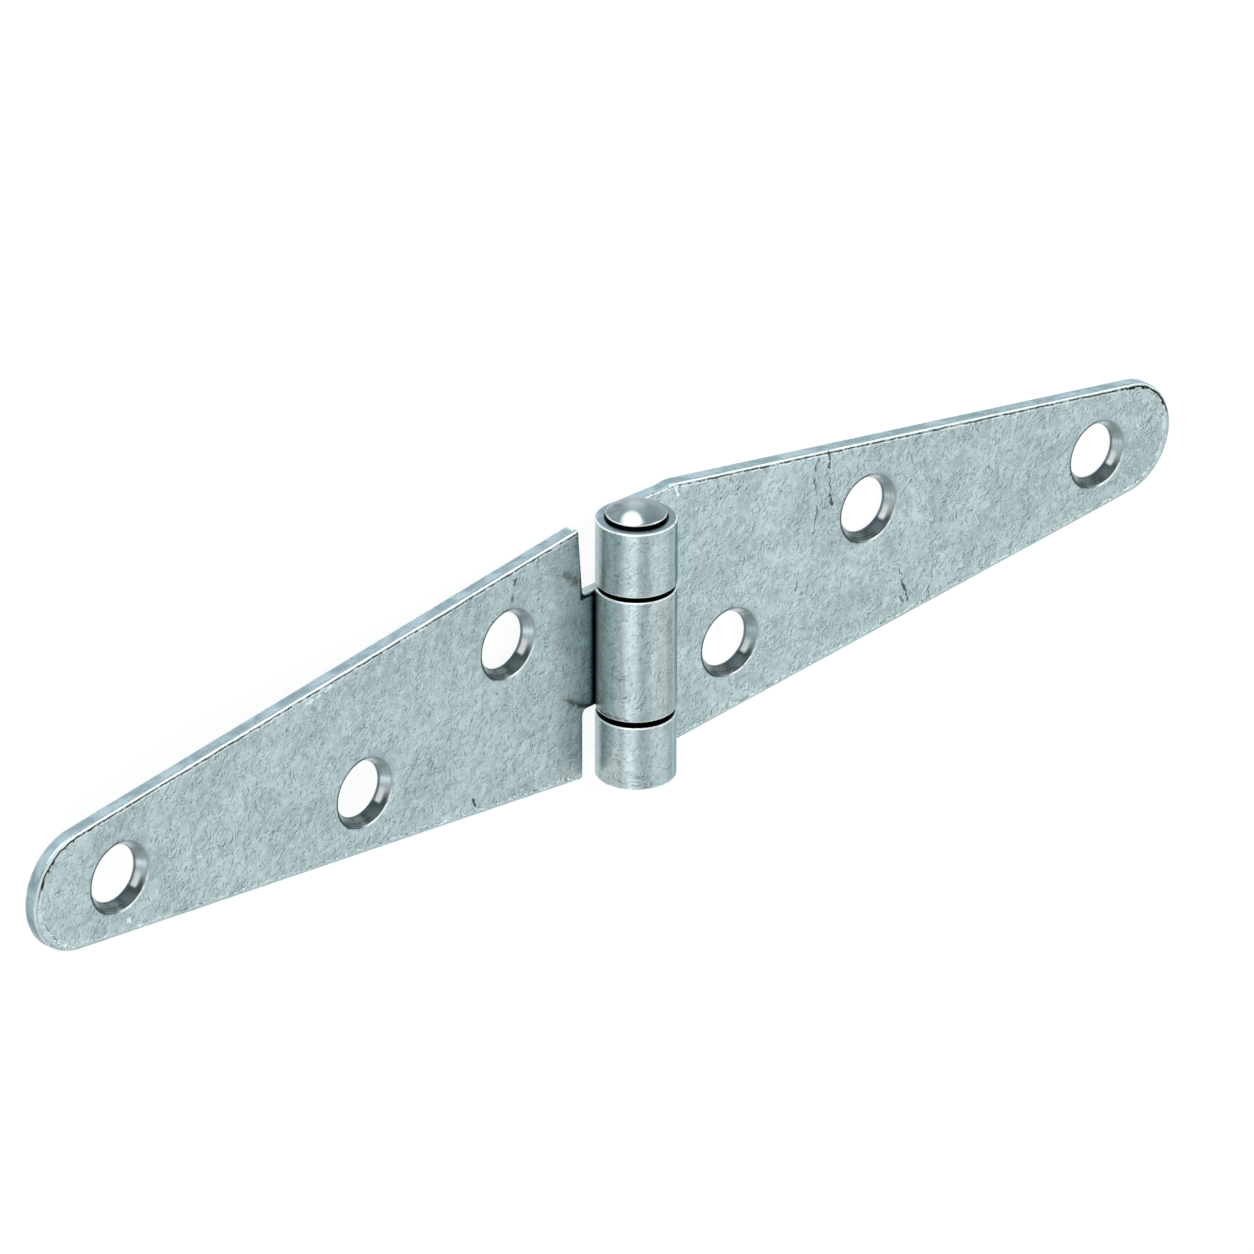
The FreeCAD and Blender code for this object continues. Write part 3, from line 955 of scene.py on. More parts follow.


# %% [markdown]
# The barrel's tones are set last. Its left flank is a little warmer, its end ring darker and darker
# still towards +X, and the lips of the knuckles get a painted highlight. Layer Weight tells how far
# the surface turns from the eye: a painted reflection strip lies just inside the left outline and a
# line of painted shade just inside the right one. Together they stand for what thick plating mirrors
# there, the paper and the leaf beside it. Under the barrel and along the leaf's root edge, the leaf
# gets painted shade.

# %% Tones, painted highlights and painted shade of the barrel
def barrel_tones(tree, leaf, colour, knuckle_ends):
    root = product(tree, leaf.facing, fade(tree, leaf.x, 11.0, 6.0), 0.8 if leaf.fold else 0.0)
    warm = strongest(tree, [product(tree, leaf.on_barrel, fade(tree, leaf.leftward, 0.84, 0.96)), root])
    warm_tint = blend(tree, warm, (1, 1, 1), (0.97, 0.90, 0.89))
    colour = put(tree, "ShaderNodeMix", {0: 1.0, 6: colour, 7: warm_tint},
                 data_type="RGBA", blend_type="MULTIPLY").outputs[2]
    from_middle = calc(tree, "ABSOLUTE", leaf.y)
    end_face = product(tree, fade(tree, calc(tree, "ABSOLUTE", leaf.normal["Y"]), 0.7, 0.95),
                       fade(tree, from_middle, 13.5, 13.65), leaf.on_barrel)
    ring_colour = blend(tree, fade(tree, leaf.x, -2.5, 2.5), (0.22, 0.31, 0.35), (0.17, 0.24, 0.27))
    colour = blend(tree, product(tree, end_face, 0.92), colour, ring_colour)

    skin = product(tree, fade(tree, leaf.radius, 3.80, 3.92), leaf.on_barrel)
    lips = []
    for end in knuckle_ends:
        from_end = calc(tree, "ABSOLUTE", calc(tree, "SUBTRACT", leaf.y, end))
        lips.append(fade(tree, from_end, 0.18, 0.09))
    # Painted highlight along the knuckles' ends.
    lip = product(tree, strongest(tree, lips), skin, fade(tree, leaf.beads, 0.70, 0.52, 0.35, 1.0),
                  fade(tree, leaf.leftward, -0.35, -0.75, 1.0, 0.5))
    colour = blend(tree, product(tree, lip, 0.9), colour, shine_white)

    # A painted reflection strip inside the left outline, and a line of painted shade inside the right.
    turned_away = put(tree, "ShaderNodeLayerWeight", {"Blend": 0.5}).outputs["Facing"]
    side_on = product(tree, skin, fade(tree, calc(tree, "ABSOLUTE", leaf.normal["Y"]), 0.4, 0.2))
    left_side = product(tree, side_on, fade(tree, leaf.leftward, 0.3, 0.7), 0.0 if leaf.fold else 1.0)
    painted_reflection_strip = product(tree, left_side, fade(tree, turned_away, 0.59, 0.65))
    lifted = product(tree, left_side, fade(tree, turned_away, 0.42, 0.56), 0.6)
    shadow_line = product(tree, side_on, fade(tree, turned_away, 0.62, 0.74),
                          fade(tree, leaf.leftward, 0.1, -0.3))
    colour = blend(tree, product(tree, shadow_line, 0.75), colour, zinc_dark)
    colour = blend(tree, product(tree, painted_reflection_strip, 0.5), colour, (0.62, 0.80, 0.87))

    # Painted shade along the leaf's root edge and under the barrel.
    root_rim_shade = product(tree, fade(tree, leaf.normal["X"], -0.25, -0.7), fade(tree, leaf.x, 4.0, 4.3),
                       fade(tree, leaf.x, 5.9, 5.6), fade(tree, leaf.z, 0.6, 0.9))
    colour = blend(tree, product(tree, root_rim_shade, 0.85), colour, painted_shade_black)
    under_barrel_shade = product(tree, leaf.facing, fade(tree, leaf.x, 4.3, 3.2),
                           fade(tree, leaf.on_barrel, 0.3, 0.0))
    colour = blend(tree, product(tree, under_barrel_shade, under_barrel_shade, 0.93), colour, painted_shade_black)
    thick_plating = [product(tree, end_face, 0.35), lip, painted_reflection_strip, lifted]
    return colour, thick_plating


# %% [markdown]
# The material joins the steps in the order a wear mark would cover another. One steel holds for
# all: bare faces are metallic, and where the plating is thick, on walls, rims and lips, it
# scatters light and is less so. The relief of the curls and the welt goes into one Bump node,
# since it is thinner than any mesh could follow.

# %% Leaf material
def make_zinc(name, fold, seed, outline, holes, cracks, strokes, gap_edges, knuckle_ends):
    material, tree, steel = new_material(name)
    leaf = read_leaf(tree, fold, seed)
    colour, bloom = plating_ground(tree, leaf)
    colour, rim, welt = rim_welt_and_painted_light(tree, leaf, colour, *outline)
    colour = hole_marks(tree, leaf, colour, holes)
    colour, notch_wall_painted_light = wall_tones(tree, leaf, colour)
    colour = cracks_and_strokes(tree, leaf, colour, cracks, strokes)
    colour = dark_gaps(tree, leaf, colour, gap_edges)
    colour, thick_plating = barrel_tones(tree, leaf, colour, knuckle_ends)
    tree.links.new(colour, steel.inputs["Base Color"])

    steel.inputs["Specular Tint"].default_value = (0.80, 0.97, 1.0, 1.0)
    rough = calc(tree, "MULTIPLY_ADD", bloom, -0.06, 0.34)
    rough = calc(tree, "MULTIPLY_ADD", leaf.on_barrel, -0.04, rough)
    rough = calc(tree, "MULTIPLY_ADD", leaf.wall, 0.16, rough)
    tree.links.new(rough, steel.inputs["Roughness"])
    thick_plating = strongest(tree, [leaf.wall, notch_wall_painted_light, product(tree, rim, 0.8)] + thick_plating)
    tree.links.new(calc(tree, "MULTIPLY_ADD", thick_plating, -0.6, 1.0), steel.inputs["Metallic"])
    raised = calc(tree, "MULTIPLY", welt, calc(tree, "MULTIPLY_ADD", leaf.beads, 1.5, 0.6))
    bump = put(tree, "ShaderNodeBump", {
        "Height": calc(tree, "ADD", leaf.zinc["Relief"], raised),
        "Strength": fade(tree, leaf.on_barrel, 0.0, 1.0, 0.36, 0.34), "Distance": 0.00006})
    tree.links.new(bump.outputs["Normal"], steel.inputs["Normal"])
    print(name, "nodes", len(tree.nodes))
    return material


# %% [markdown]
# A leaf's outline is a list of corners, each with the radius that rounds it, from one long side
# round the root to the other. The upper outer knuckle is drawn in a little at both its ends, and
# the centre leaf's notch on that side is cut deeper past a small step that the barrel hides.

# %% Corners and holes of the leaves
leaf_holes = ("root", "middle", "tip")
outer_holes = [mounts["outer_leaf_%s_screw" % name]["pos_m"][:2] for name in leaf_holes]
flatten = place_centre.inverted()
centre_holes = [flatten @ Vector(mounts["centre_leaf_%s_screw" % name]["pos_m"]) for name in leaf_holes]
centre_holes = [(spot.x, spot.y) for spot in centre_holes]

outer_root = half_barrel + 0.25 * MM
outer_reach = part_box("outer_knuckle_leaf")[1].x
outer_offset = -0.3 * MM
step_start, step_end = 5.6 * MM, 7.0 * MM
step_radius, root_radius, notch_radius = 0.3 * MM, 0.45 * MM, 0.5 * MM
upper_end = half_barrel - knuckle_draw
upper_inner_end = knuckle_inner_end - 0.18 * MM
outer_corners = [(Vector((x, y, 0)), radius) for x, y, radius in (
    (step_end, outer_root, root_radius), (step_start, half_barrel, step_radius),
    (0.8 * MM, upper_end, 0), (strip_spare, upper_end, 0),
    (strip_spare, upper_inner_end, 0), (shoulder_reach, upper_inner_end, notch_radius),
    (shoulder_reach, -knuckle_inner_end, notch_radius), (strip_spare, -knuckle_inner_end, 0),
    (strip_spare, -half_barrel, 0), (step_start, -half_barrel, step_radius),
    (step_end, -outer_root, root_radius))]

centre_reach = 77.1 * MM
centre_offset = 0.3 * MM
centre_root = 13.8 * MM
notch_wall_y = centre_knuckle[0] + 0.5 * MM
centre_corners = [(Vector((x, y, 0)), radius) for x, y, radius in (
    (shoulder_reach, centre_root + centre_offset, root_radius),
    (shoulder_reach, centre_knuckle[1], notch_radius), (strip_spare, centre_knuckle[1], 0),
    (strip_spare, centre_knuckle[0], 0), (1.0 * MM, centre_knuckle[0], 0),
    (1.5 * MM, notch_wall_y, 0), (shoulder_reach, notch_wall_y, notch_radius),
    (shoulder_reach + 0.6 * MM, centre_offset - centre_root, root_radius))]
print("corners", len(outer_corners), len(centre_corners), "reach", round(outer_reach, 4), centre_reach)

# %% [markdown]
# These are the cracks and bright strokes that the photo shows, listed one by one on the flat blank
# in millimetres: the mark's two ends, its width and its strength. A random pattern could scatter
# as many, but the eye looks for the few it remembers. Gap edges and knuckle ends are places along
# the pin.

# %% Marks of the leaves
outer_cracks = [
    ((27.0, 11.2), (27.3, 9.6), 0.22, 0.9), ((27.3, 8.3), (27.35, 7.0), 0.14, 0.9),
    ((27.35, 7.0), (27.5, 5.2), 0.20, 1.0), ((25.7, 10.8), (25.3, 9.8), 0.17, 0.8),
    ((26.9, 5.3), (25.7, 5.0), 0.10, 0.6), ((25.6, 5.6), (25.4, 3.2), 0.12, 0.7),
    ((25.2, 9.0), (25.5, 7.0), 0.10, 0.6), ((36.5, -4.3), (37.0, -5.6), 0.11, 0.8),
    ((37.1, -6.1), (38.0, -8.7), 0.18, 0.9), ((36.9, -8.0), (37.4, -8.9), 0.13, 0.7),
    ((41.3, -5.6), (41.0, -7.5), 0.10, 0.7), ((40.8, -8.0), (40.5, -9.6), 0.12, 0.7),
    ((42.1, 0.7), (43.1, 0.9), 0.12, 0.8), ((15.5, 11.1), (15.0, 10.6), 0.16, 0.7),
    ((23.1, -1.9), (22.9, -2.6), 0.15, 0.8),
]
outer_strokes = [
    ((68.7, 1.8), (69.3, 0.3), 0.16, 0.55), ((18.0, -2.1), (18.3, -3.1), 0.12, 0.5),
    ((7.3, 13.9), (7.5, 12.9), 0.3, 0.9), ((52.0, 7.2), (52.4, 7.4), 0.1, 0.7),
]
centre_cracks = [
    ((14.0, -11.2), (14.05, -10.8), 0.34, 0.8), ((14.3, -9.5), (14.4, -9.2), 0.30, 0.7),
    ((19.9, 10.5), (19.6, 11.3), 0.24, 0.9), ((7.2, -9.4), (5.4, -7.7), 0.55, 0.42),
    ((6.7, 4.6), (4.9, 5.9), 0.36, 0.55), ((4.9, 5.9), (3.5, 6.5), 0.30, 0.6),
    ((55.1, -8.4), (54.4, -7.9), 0.14, 0.9), ((10.0, -2.7), (9.4, -2.1), 0.10, 0.7),
]
centre_strokes = [
    ((42.0, -8.3), (41.3, -8.4), 0.2, 0.8), ((40.7, -8.5), (40.2, -8.6), 0.16, 0.7),
    ((39.4, -8.7), (38.8, -8.9), 0.22, 0.85), ((45.5, -3.9), (44.8, -2.8), 0.12, 0.5),
    ((56.4, 2.6), (55.9, 2.6), 0.14, 0.7), ((24.8, -2.3), (24.6, 0.4), 0.05, 0.5),
    ((65.5, 5.7), (65.1, 5.9), 0.22, 0.8),
]
outer_zinc = make_zinc(
    "outer_leaf_zinc", 0, 1.0, (outer_corners, outer_reach, outer_offset), outer_holes,
    outer_cracks, outer_strokes, gap_edges=[(6.5, 7.02), (-7.2, -6.6)],
    knuckle_ends=(13.87, 7.02, -7.2, -14.0))
centre_zinc = make_zinc(
    "centre_leaf_zinc", rest_fold, 5.0, (centre_corners, centre_reach, centre_offset), centre_holes,
    centre_cracks, centre_strokes, gap_edges=[(6.5, 6.9), (-7.0, -6.4)], knuckle_ends=(6.57, -6.5))

# %% [markdown]
# The countersinks are bare turned steel under a thin plating: darker and shinier than the faces,
# with fine rings round each hole. The rings are a noise read along the radius alone, and smears
# that turn slowly round the hole break them. Light and shade are painted by the bearing round each
# hole: one side is lighter and `shaded` is darker. `streak` is a painted glint of the lamp on one
# side. At the mouth, a band of painted light, a painted highlight and a line of painted shade also
# follow bearings. The same material serves the cones at the barrel's ends, which are painted black
# as shade.

# %% Turned steel material
def make_turned(name, fold, centres):
    material, tree, steel = new_material(name)
    place = flat_place(tree, fold)
    radius, compass, toward = round_hole(tree, place, fold, centres)
    along_radius = put(tree, "ShaderNodeCombineXYZ", {"X": radius}).outputs[0]
    rings = noise(tree, along_radius, 8.0, 3, 0.75)
    around = vector_calc(tree, "MULTIPLY", compass, (1.5, 1.5, 0)).outputs[0]
    smears = calc(tree, "SUBTRACT", noise(tree, around, 2.2, 2, 0.6, 0.0, product(tree, radius, 0.35)), 0.5)

    ring_tone = product(tree, calc(tree, "SUBTRACT", rings, 0.08), 1.15)
    tone = calc(tree, "MULTIPLY_ADD", fade(tree, toward(38), 0.10, 0.72), 0.28, ring_tone)
    tone = calc(tree, "MULTIPLY_ADD", smears, 0.7, tone)
    streak = product(tree, fade(tree, toward(-29), 0.955, 0.995), fade(tree, radius, 3.40, 3.12),
                     fade(tree, rings, 0.30, 0.50))
    shaded = product(tree, fade(tree, toward(-54), 0.80, 0.97), -0.30)
    tone = calc(tree, "ADD", tone, calc(tree, "ADD", streak, shaded))
    colour = blend(tree, fade(tree, tone, 0.18, 0.98), (0.06, 0.08, 0.085), (0.62, 0.74, 0.76))
    colour = blend(tree, streak, colour, shine_white)

    mouth_radius = countersink_radius * 1000
    # Painted light on the mouth's lit side.
    mouth_painted_light = product(tree, fade(tree, radius, mouth_radius - 0.22, mouth_radius),
                   fade(tree, toward(40), 0.0, 0.7))
    colour = blend(tree, mouth_painted_light, colour, (0.36, 0.45, 0.47))
    mouth = fade(tree, radius, mouth_radius - 0.03, mouth_radius + 0.02)
    colour = blend(tree, product(tree, mouth, fade(tree, toward(-50), 0.70, 0.92)), colour, shine_white)
    colour = blend(tree, product(tree, mouth, fade(tree, toward(170), -0.1, 0.3)), colour, (0.05, 0.09, 0.11))
    land = fade(tree, radius, hole_radius * 1000 + 0.05, hole_radius * 1000 + 0.01)
    colour = blend(tree, product(tree, land, 0.85), colour, (0.05, 0.11, 0.14))
    colour = blend(tree, fade(tree, radius, 4.3, 4.6), colour, painted_shade_black)
    tree.links.new(colour, steel.inputs["Base Color"])
    tree.links.new(fade(tree, rings, 0.3, 0.7, 0.40, 0.28), steel.inputs["Roughness"])
    tree.links.new(fade(tree, streak, 0.0, 1.0, 1.0, 0.3), steel.inputs["Metallic"])
    print(name, "nodes", len(tree.nodes), "holes at", [(round(x, 5), round(y, 5)) for x, y in centres])
    return material


outer_turned = make_turned("outer_leaf_turned", 0, outer_holes)
centre_turned = make_turned("centre_leaf_turned", rest_fold, centre_holes)

# %% [markdown]
# Zinc gathers in small beads along the rims that hung lowest in the bath. A noise in the bump
# can't throw their small shadows, so they are icospheres flattened on the face, set by a seeded
# random. A few lie on the mouths of the screw holes. Near the tip they are kept low, so that the
# folded leaf stays inside the fixed model's box.

# %% Set the plating's beads
chance = random.Random(7)


def bead(x, y, long, wide, high, turn):
    bpy.ops.mesh.primitive_ico_sphere_add(subdivisions=3, radius=MM, location=(x, y, sheet - 0.012 * MM),
                                          rotation=(0, 0, turn), scale=(long, wide, high))
    return bpy.context.object


def side_beads(corner, centre, side, count, tall):
    """Beads just inside a straight side, from the root corner to where the tip's arc begins."""
    angle = tip_angle(corner, centre, side)
    outward = Vector((math.cos(angle), math.sin(angle), 0))
    end = centre + outward * tip_radius
    found = []
    for step in range(count):
        inset = chance.uniform(0.42, 0.70) * MM
        point = corner.lerp(end, chance.uniform(0.02, 1.0)) - outward * inset
        found.append(bead(point.x, point.y, chance.uniform(0.15, 0.6), chance.uniform(0.08, 0.18),
                          chance.uniform(0.5, 1.0) * tall,
                          angle + math.pi / 2 + chance.uniform(-0.35, 0.35)))
    return found


def tip_beads(centre, low, high, count, tall):
    found = []
    for step in range(count):
        angle = math.radians(chance.uniform(low, high))
        reach = tip_radius - chance.uniform(0.5, 1.05) * MM
        below_top = (tip_radius - 0.3 * MM - reach * math.cos(angle)) * math.sin(rest_fold) / MM
        found.append(bead(centre.x + reach * math.cos(angle), centre.y + reach * math.sin(angle),
                          chance.uniform(0.15, 0.5), chance.uniform(0.10, 0.2),
                          min(chance.uniform(0.5, 1.0) * tall, below_top),
                          angle + math.pi / 2 + chance.uniform(-0.6, 0.6)))
    return found


def mouth_beads(x, y, angles):
    found = []
    for turn, long in angles:
        angle = math.radians(turn)
        reach = countersink_radius + 0.08 * MM
        found.append(bead(x + reach * math.cos(angle), y + reach * math.sin(angle), long, 0.09, 0.05,
                          angle + math.pi / 2))
    return found


# %% [markdown]
# The two leaves use the same steps with their own corners. The cutter brings the turned steel
# into the holes, because the Boolean hands its material to the faces it cuts. The centre leaf is
# built facing +X as well, and is turned half round and folded into place at the end, so that one
# set of steps serves both and its marks keep their places on the flat blank.

# %% Finish a leaf
def finish_leaf(piece, plating, turned, cutters, beads, place):
    piece.data.materials.append(plating)
    cutter = join_pieces(cutters)
    cutter.data.materials.append(turned)
    cut_away(piece, cutter)
    make_active(piece)
    piece.vertex_groups.clear()
    for drop in beads:
        drop.data.materials.append(plating)
    join_pieces([piece] + beads)
    bpy.ops.object.shade_smooth_by_angle(angle=math.radians(32))
    piece.matrix_world = place
    apply_place(piece)
    print(piece.name, "finished:", len(piece.data.polygons), "faces,", len(beads), "beads")


# %% [markdown]
# The outer leaf is drawn, thickened, rolled and cut in that order, as the real one is, except that
# the press cuts the holes first. Its beads lie thickest along the side that hung lowest.

# %% Model the outer leaf
outer_leaf = draw_outline("outer_leaf", outer_corners, outer_reach, outer_offset)
thicken(outer_leaf, outer_reach, outer_root)
roll_knuckles(outer_leaf)
outer_cutters = [hole_cutter("outer_hole_%d" % count, x, y) for count, (x, y) in enumerate(outer_holes)]
outer_cutters += [seat_cutter("upper_seat", 1), seat_cutter("lower_seat", -1)]
outer_tip = Vector((outer_reach - tip_radius, outer_offset, 0))
outer_beads = side_beads(outer_corners[-1][0], outer_tip, -1, 60, 0.10)
outer_beads += side_beads(outer_corners[0][0], outer_tip, 1, 14, 0.05)
outer_beads += tip_beads(outer_tip, -80, 60, 16, 0.08)
root_drops = ((10.6, -13.1), (11.45, -12.8), (12.1, -12.75), (12.9, -12.6), (13.6, -12.9))
outer_beads += [bead(x * MM, y * MM, 0.34, 0.13, 0.12, 1.3) for x, y in root_drops]
outer_beads += mouth_beads(*outer_holes[0], ((-38, 0.3), (-28, 0.2), (-22, 0.25), (-60, 0.15)))
outer_beads += mouth_beads(*outer_holes[1], ((-35, 0.2), (-50, 0.3)))
outer_beads += mouth_beads(*outer_holes[2], ((-30, 0.2),))
finish_leaf(outer_leaf, outer_zinc, outer_turned, outer_cutters, outer_beads, place_outer)

# %% [markdown]
# The centre leaf has three holes and no seats, because its knuckle only turns on the pin.

# %% Model the centre leaf
centre_leaf = draw_outline("centre_leaf", centre_corners, centre_reach, centre_offset)
thicken(centre_leaf, centre_reach, centre_root + centre_offset)
roll_knuckles(centre_leaf)
centre_cutters = [hole_cutter("centre_hole_%d" % count, x, y) for count, (x, y) in enumerate(centre_holes)]
centre_tip = Vector((centre_reach - tip_radius, centre_offset, 0))
centre_beads = side_beads(centre_corners[0][0], centre_tip, 1, 60, 0.10)
centre_beads += side_beads(centre_corners[-1][0], centre_tip, -1, 14, 0.05)
centre_beads += tip_beads(centre_tip, -5, 85, 34, 0.13)
centre_beads += mouth_beads(*centre_holes[2], ((150, 0.3), (138, 0.2)))
centre_beads += mouth_beads(*centre_holes[1], ((145, 0.2),))
finish_leaf(centre_leaf, centre_zinc, centre_turned, centre_cutters, centre_beads, place_centre)

# %% [markdown]
# The rivet pin has one head formed before it goes in and one after. A sphere flattened on a
# cylinder would miss the lip, so the pin is turned from its half section as the cutters are.
# Each head is a low dome with a rounded lip that stands a little proud of the barrel's end, and
# under the lip it narrows into the seat, which leaves the dark gap seen round it. The pin is
# spun upright and then laid along its line.

# %% Model the rivet pin
pin_radius = bore_radius - 0.06 * MM
lip_height = half_barrel + 0.42 * MM
dome_rise = half_barrel + head_height - lip_height
dome_edge = head_radius - 0.04 * MM
dome_radius = (dome_edge ** 2 + dome_rise ** 2) / (2 * dome_rise)
dome_middle = half_barrel + head_height - dome_radius
dome_angle = math.asin(dome_edge / dome_radius)
upper_half = []
for count in range(25):
    angle = dome_angle * count / 24
    upper_half.append((dome_radius * math.sin(angle), dome_middle + dome_radius * math.cos(angle)))
upper_half += [
    (head_radius - 0.01 * MM, lip_height - 0.04 * MM),
    (head_radius, lip_height - 0.10 * MM),
    (head_radius - 0.04 * MM, lip_height - 0.17 * MM),
    (head_radius - 0.18 * MM, lip_height - 0.24 * MM),
    (pin_radius, half_barrel - 0.45 * MM),
]
section = upper_half + [(radius, -height) for radius, height in reversed(upper_half)]
rivet_pin = turned_solid("rivet_pin_visual", section, 128)
rivet_pin.rotation_euler = (math.radians(-90), 0, 0)
rivet_pin.location = pin_middle
apply_place(rivet_pin)
bpy.ops.object.shade_smooth_by_angle(angle=math.radians(30))
print("pin faces", len(rivet_pin.data.polygons), "lip at", round(lip_height, 5))

# %% [markdown]
# The head is smoother than the leaves, so its plating shows broad tones and one clear highlight.
# A mirror of a lamp would move with the eye and be lost in the brushed finish, so the highlight
# is painted as a soft patch, with a ring of painted shade round it. A paler painted highlight lies
# higher up, and painted shade lies on the right side. The lip gets a painted highlight line, and
# under it the gap is painted black as shade. Patches are placed across and up from the head's
# middle, in millimetres, along two directions square to the line of sight.

# %% Steel of the pin
head_across = (0.76, 0.0, 0.648)
head_up = (0.648, 0.0, -0.76)
head_painted_shade = (0.20, 0.27, 0.29)
highlight = (0.97, 1.0, 1.0)


def head_patch(tree, across, up, middle, wide, sharp):
    """A soft round patch on the pin's head: full within `sharp` of its middle and gone past `wide`."""
    spot = put(tree, "ShaderNodeCombineXYZ", {"X": calc(tree, "SUBTRACT", across, middle[0]),
                                              "Y": calc(tree, "SUBTRACT", up, middle[1])}).outputs[0]
    return fade(tree, vector_calc(tree, "LENGTH", spot, (0, 0, 0)).outputs["Value"], wide, sharp)


def make_pin_steel():
    material, tree, steel = new_material("pin_zinc_visual")
    place = flat_place(tree, 0)
    zinc = use_group(tree, zinc_texture, {"Place": place, "Seed": 9.0}).outputs
    from_pin = vector_calc(tree, "SUBTRACT", place, pin_middle * 1000).outputs[0]
    across = vector_calc(tree, "DOT_PRODUCT", from_pin, head_across).outputs["Value"]
    up = vector_calc(tree, "DOT_PRODUCT", from_pin, head_up).outputs["Value"]

    colour = blend(tree, fade(tree, zinc["Bloom"], -0.35, 0.35), (0.13, 0.19, 0.21), (0.27, 0.36, 0.39))
    colour = blend(tree, product(tree, zinc["Worm shade and arcs"], 0.25), colour, zinc_dark)
    # Painted shade on the right of the head, and below, a ring of it round the highlight.
    colour = blend(tree, product(tree, fade(tree, across, 0.41, 2.11), 0.7), colour, head_painted_shade)
    highlight_shade_ring = head_patch(tree, across, up, (-0.4, -1.9), 2.4, 1.2)
    colour = blend(tree, product(tree, highlight_shade_ring, 0.55), colour, head_painted_shade)
    upper_painted_highlight = head_patch(tree, across, up, (-0.2, -0.3), 1.5, 0.3)
    colour = blend(tree, product(tree, upper_painted_highlight, 0.35), colour, (0.72, 0.88, 0.92))
    shine = head_patch(tree, across, up, (-0.55, -2.35), 1.20, 0.6)
    colour = blend(tree, product(tree, shine, 0.9), colour, highlight)

    part = put(tree, "ShaderNodeSeparateXYZ", {"Vector": place})
    from_middle = calc(tree, "ABSOLUTE", part.outputs["Y"])
    # Painted highlight on the lip, and painted black shade under it.
    head_lip_highlight = product(tree, fade(tree, from_middle, 14.30, 14.34), fade(tree, from_middle, 14.46, 14.41))
    colour = blend(tree, product(tree, head_lip_highlight, 0.8), colour, (0.92, 1.0, 1.0))
    colour = blend(tree, fade(tree, from_middle, 14.30, 14.24), colour, painted_shade_black)
    tree.links.new(colour, steel.inputs["Base Color"])
    tree.links.new(calc(tree, "MULTIPLY_ADD", zinc["Bloom"], -0.08, 0.26), steel.inputs["Roughness"])
    tree.links.new(fade(tree, shine, 0.0, 1.0, 0.62, 0.15), steel.inputs["Metallic"])
    print("pin steel nodes", len(tree.nodes))
    return material


rivet_pin.data.materials.append(make_pin_steel())

# %% [markdown]
# The new pieces take the fixed nodes' places. Each rides the body its node belongs to.

# %% Hand over to the frame
for piece, node, body, slot in (
        (outer_leaf, "outer_knuckle_leaf", "outer_leaf", "leaf_zinc"),
        (centre_leaf, "centre_knuckle_leaf", "centre_leaf", "leaf_zinc"),
        (rivet_pin, "rivet_pin", "outer_leaf", "pin_zinc")):
    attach(piece, body)
    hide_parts(node)

# %% [markdown]
# ## Studio
# The floor is plain white paper. Paper lit well enough to look white would wash out the steel,
# so a Light Path node splits it: the camera and the metal's reflections see it near white with
# the hinge's soft shadow on it, and all other light falls on a grey card. It lies a hair below
# the leaf's back, because two faces in one plane flicker.

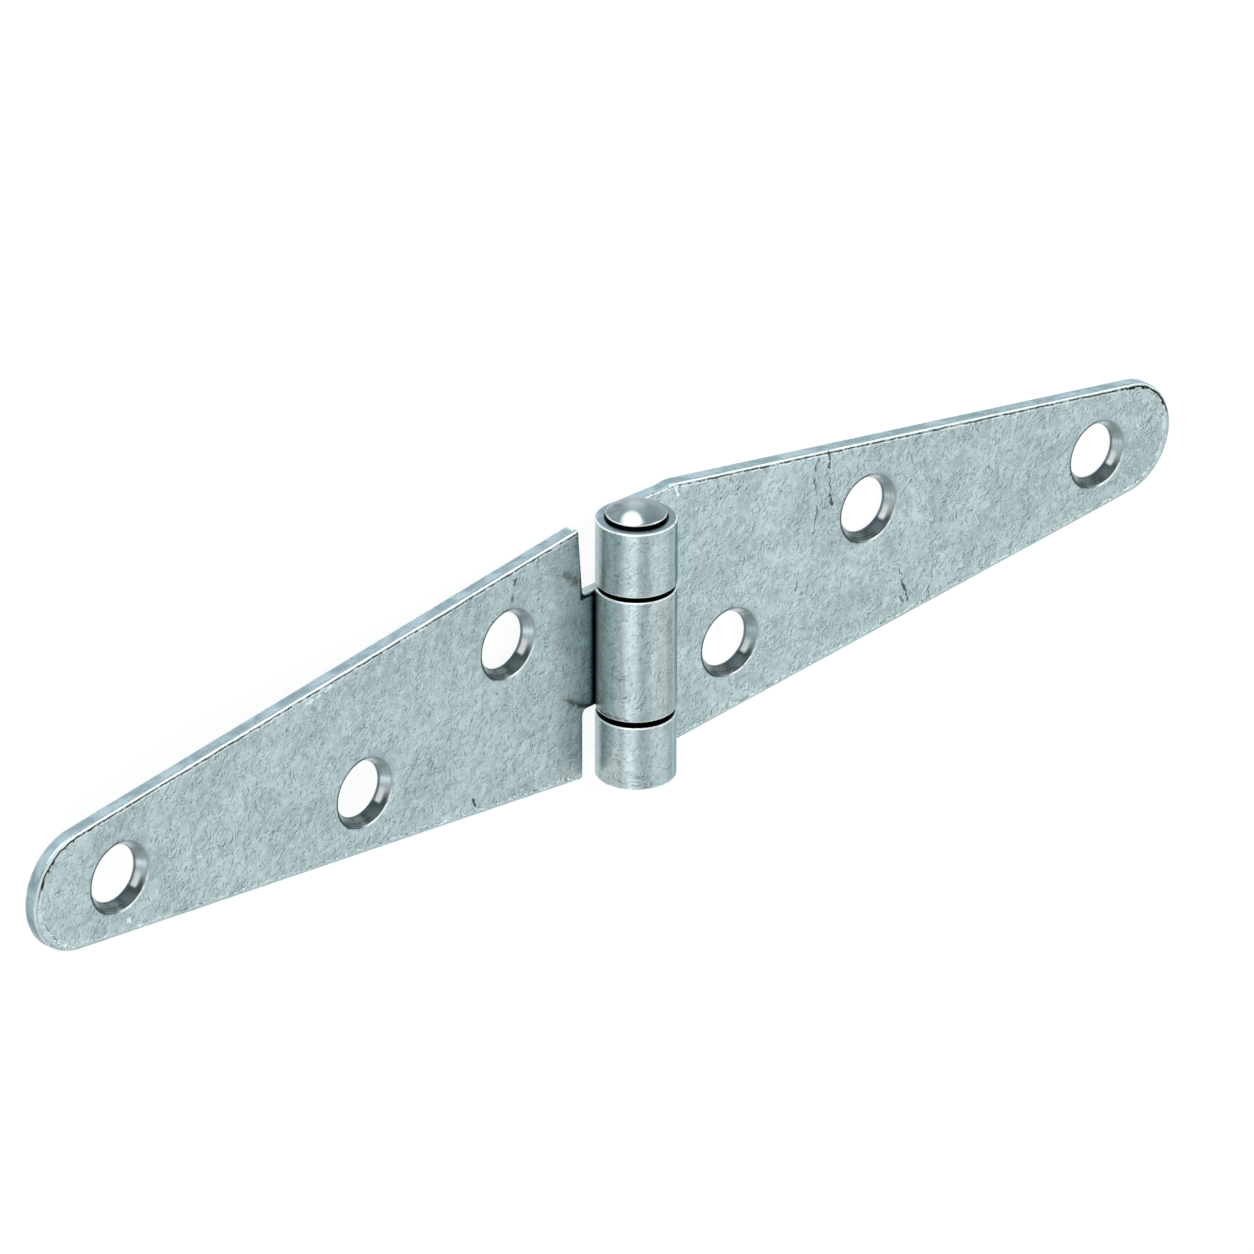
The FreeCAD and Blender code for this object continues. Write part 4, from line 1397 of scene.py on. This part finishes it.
# %% Floor
start_fresh()
bpy.ops.mesh.primitive_plane_add(size=6)
floor = bpy.context.object
floor.name = "studio_floor"
floor.location.z = -0.02 * MM
floor_paper, tree, paper = new_material("studio_paper")
paper.inputs["Base Color"].default_value = (0.5, 0.5, 0.5, 1)
paper.inputs["Roughness"].default_value = 1.0
seen_paper = put(tree, "ShaderNodeBsdfPrincipled", {
    "Base Color": (0.17, 0.17, 0.17, 1), "Roughness": 1.0,
    "Emission Color": (1, 1, 1, 1), "Emission Strength": 0.88})
ray = tree.nodes.new("ShaderNodeLightPath").outputs
seen = calc(tree, "MAXIMUM", ray["Is Camera Ray"], ray["Is Glossy Ray"])
choice = put(tree, "ShaderNodeMixShader", {0: seen, 1: paper.outputs[0], 2: seen_paper.outputs[0]})
tree.links.new(choice.outputs[0], tree.nodes["Material Output"].inputs["Surface"])
floor.data.materials.append(floor_paper)
print("floor at", round(floor.location.z * 1000, 3), "mm")

# %% [markdown]
# Polished steel shows what stands round it, so the lights are placed by what each face mirrors. A
# wide panel is what the flat leaves mirror, a tall strip draws the streak down the barrel, a
# third lights the far rims, and a lamp behind the pin's end lights its head. Even light from all
# round fills the rest, and is dimmer behind the hinge to the left.

# %% Lights
world = bpy.data.worlds.new("studio_world")
bpy.context.scene.world = world
world.use_nodes = True
sky = world.node_tree
sky.nodes["Background"].inputs["Color"].default_value = (1, 1, 1, 1)
direction = sky.nodes.new("ShaderNodeTexCoord").outputs["Generated"]
behind = vector_calc(sky, "DOT_PRODUCT", direction, (-0.46, 0.83, 0.31)).outputs["Value"]
sky.links.new(fade(sky, behind, 0.45, 0.90, 0.66, 0.52), sky.nodes["Background"].inputs["Strength"])


def soft_light(name, direction, distance, width, height, radiance):
    """A rectangle that faces the hinge and shows this much brighter than the even light behind it."""
    data = bpy.data.lights.new(name, "AREA")
    data.shape = "RECTANGLE"
    data.size, data.size_y = width, height
    data.energy = math.pi * width * height * radiance
    lamp = bpy.data.objects.new(name, data)
    bpy.context.scene.collection.objects.link(lamp)
    outward = Vector(direction).normalized()
    lamp.location = outward * distance
    lamp.rotation_euler = outward.to_track_quat("Z", "Y").to_euler()
    lamp.visible_camera = False


soft_light("leaf_panel", (0.41, -0.459, 0.788), 1.1, 0.91, 0.9, 0.36)
soft_light("barrel_strip", (-0.714, -0.459, 0.528), 1.0, 0.075, 0.7, 2.9)
soft_light("rim_light", (0.576, 0.502, 0.6455), 1.0, 0.45, 0.5, 2.2)
soft_light("head_lamp", (-0.30, 0.945, 0.12), 0.9, 0.80, 0.30, 7.0)
print("lights", [item.name for item in bpy.data.lights])

# %% [markdown]
# Last, the fixed model's box is printed, in millimetres.

# %% Sizes and finish
print("cad box", [round(v * 1000, 3) for v in (*cad_low, *cad_high)])
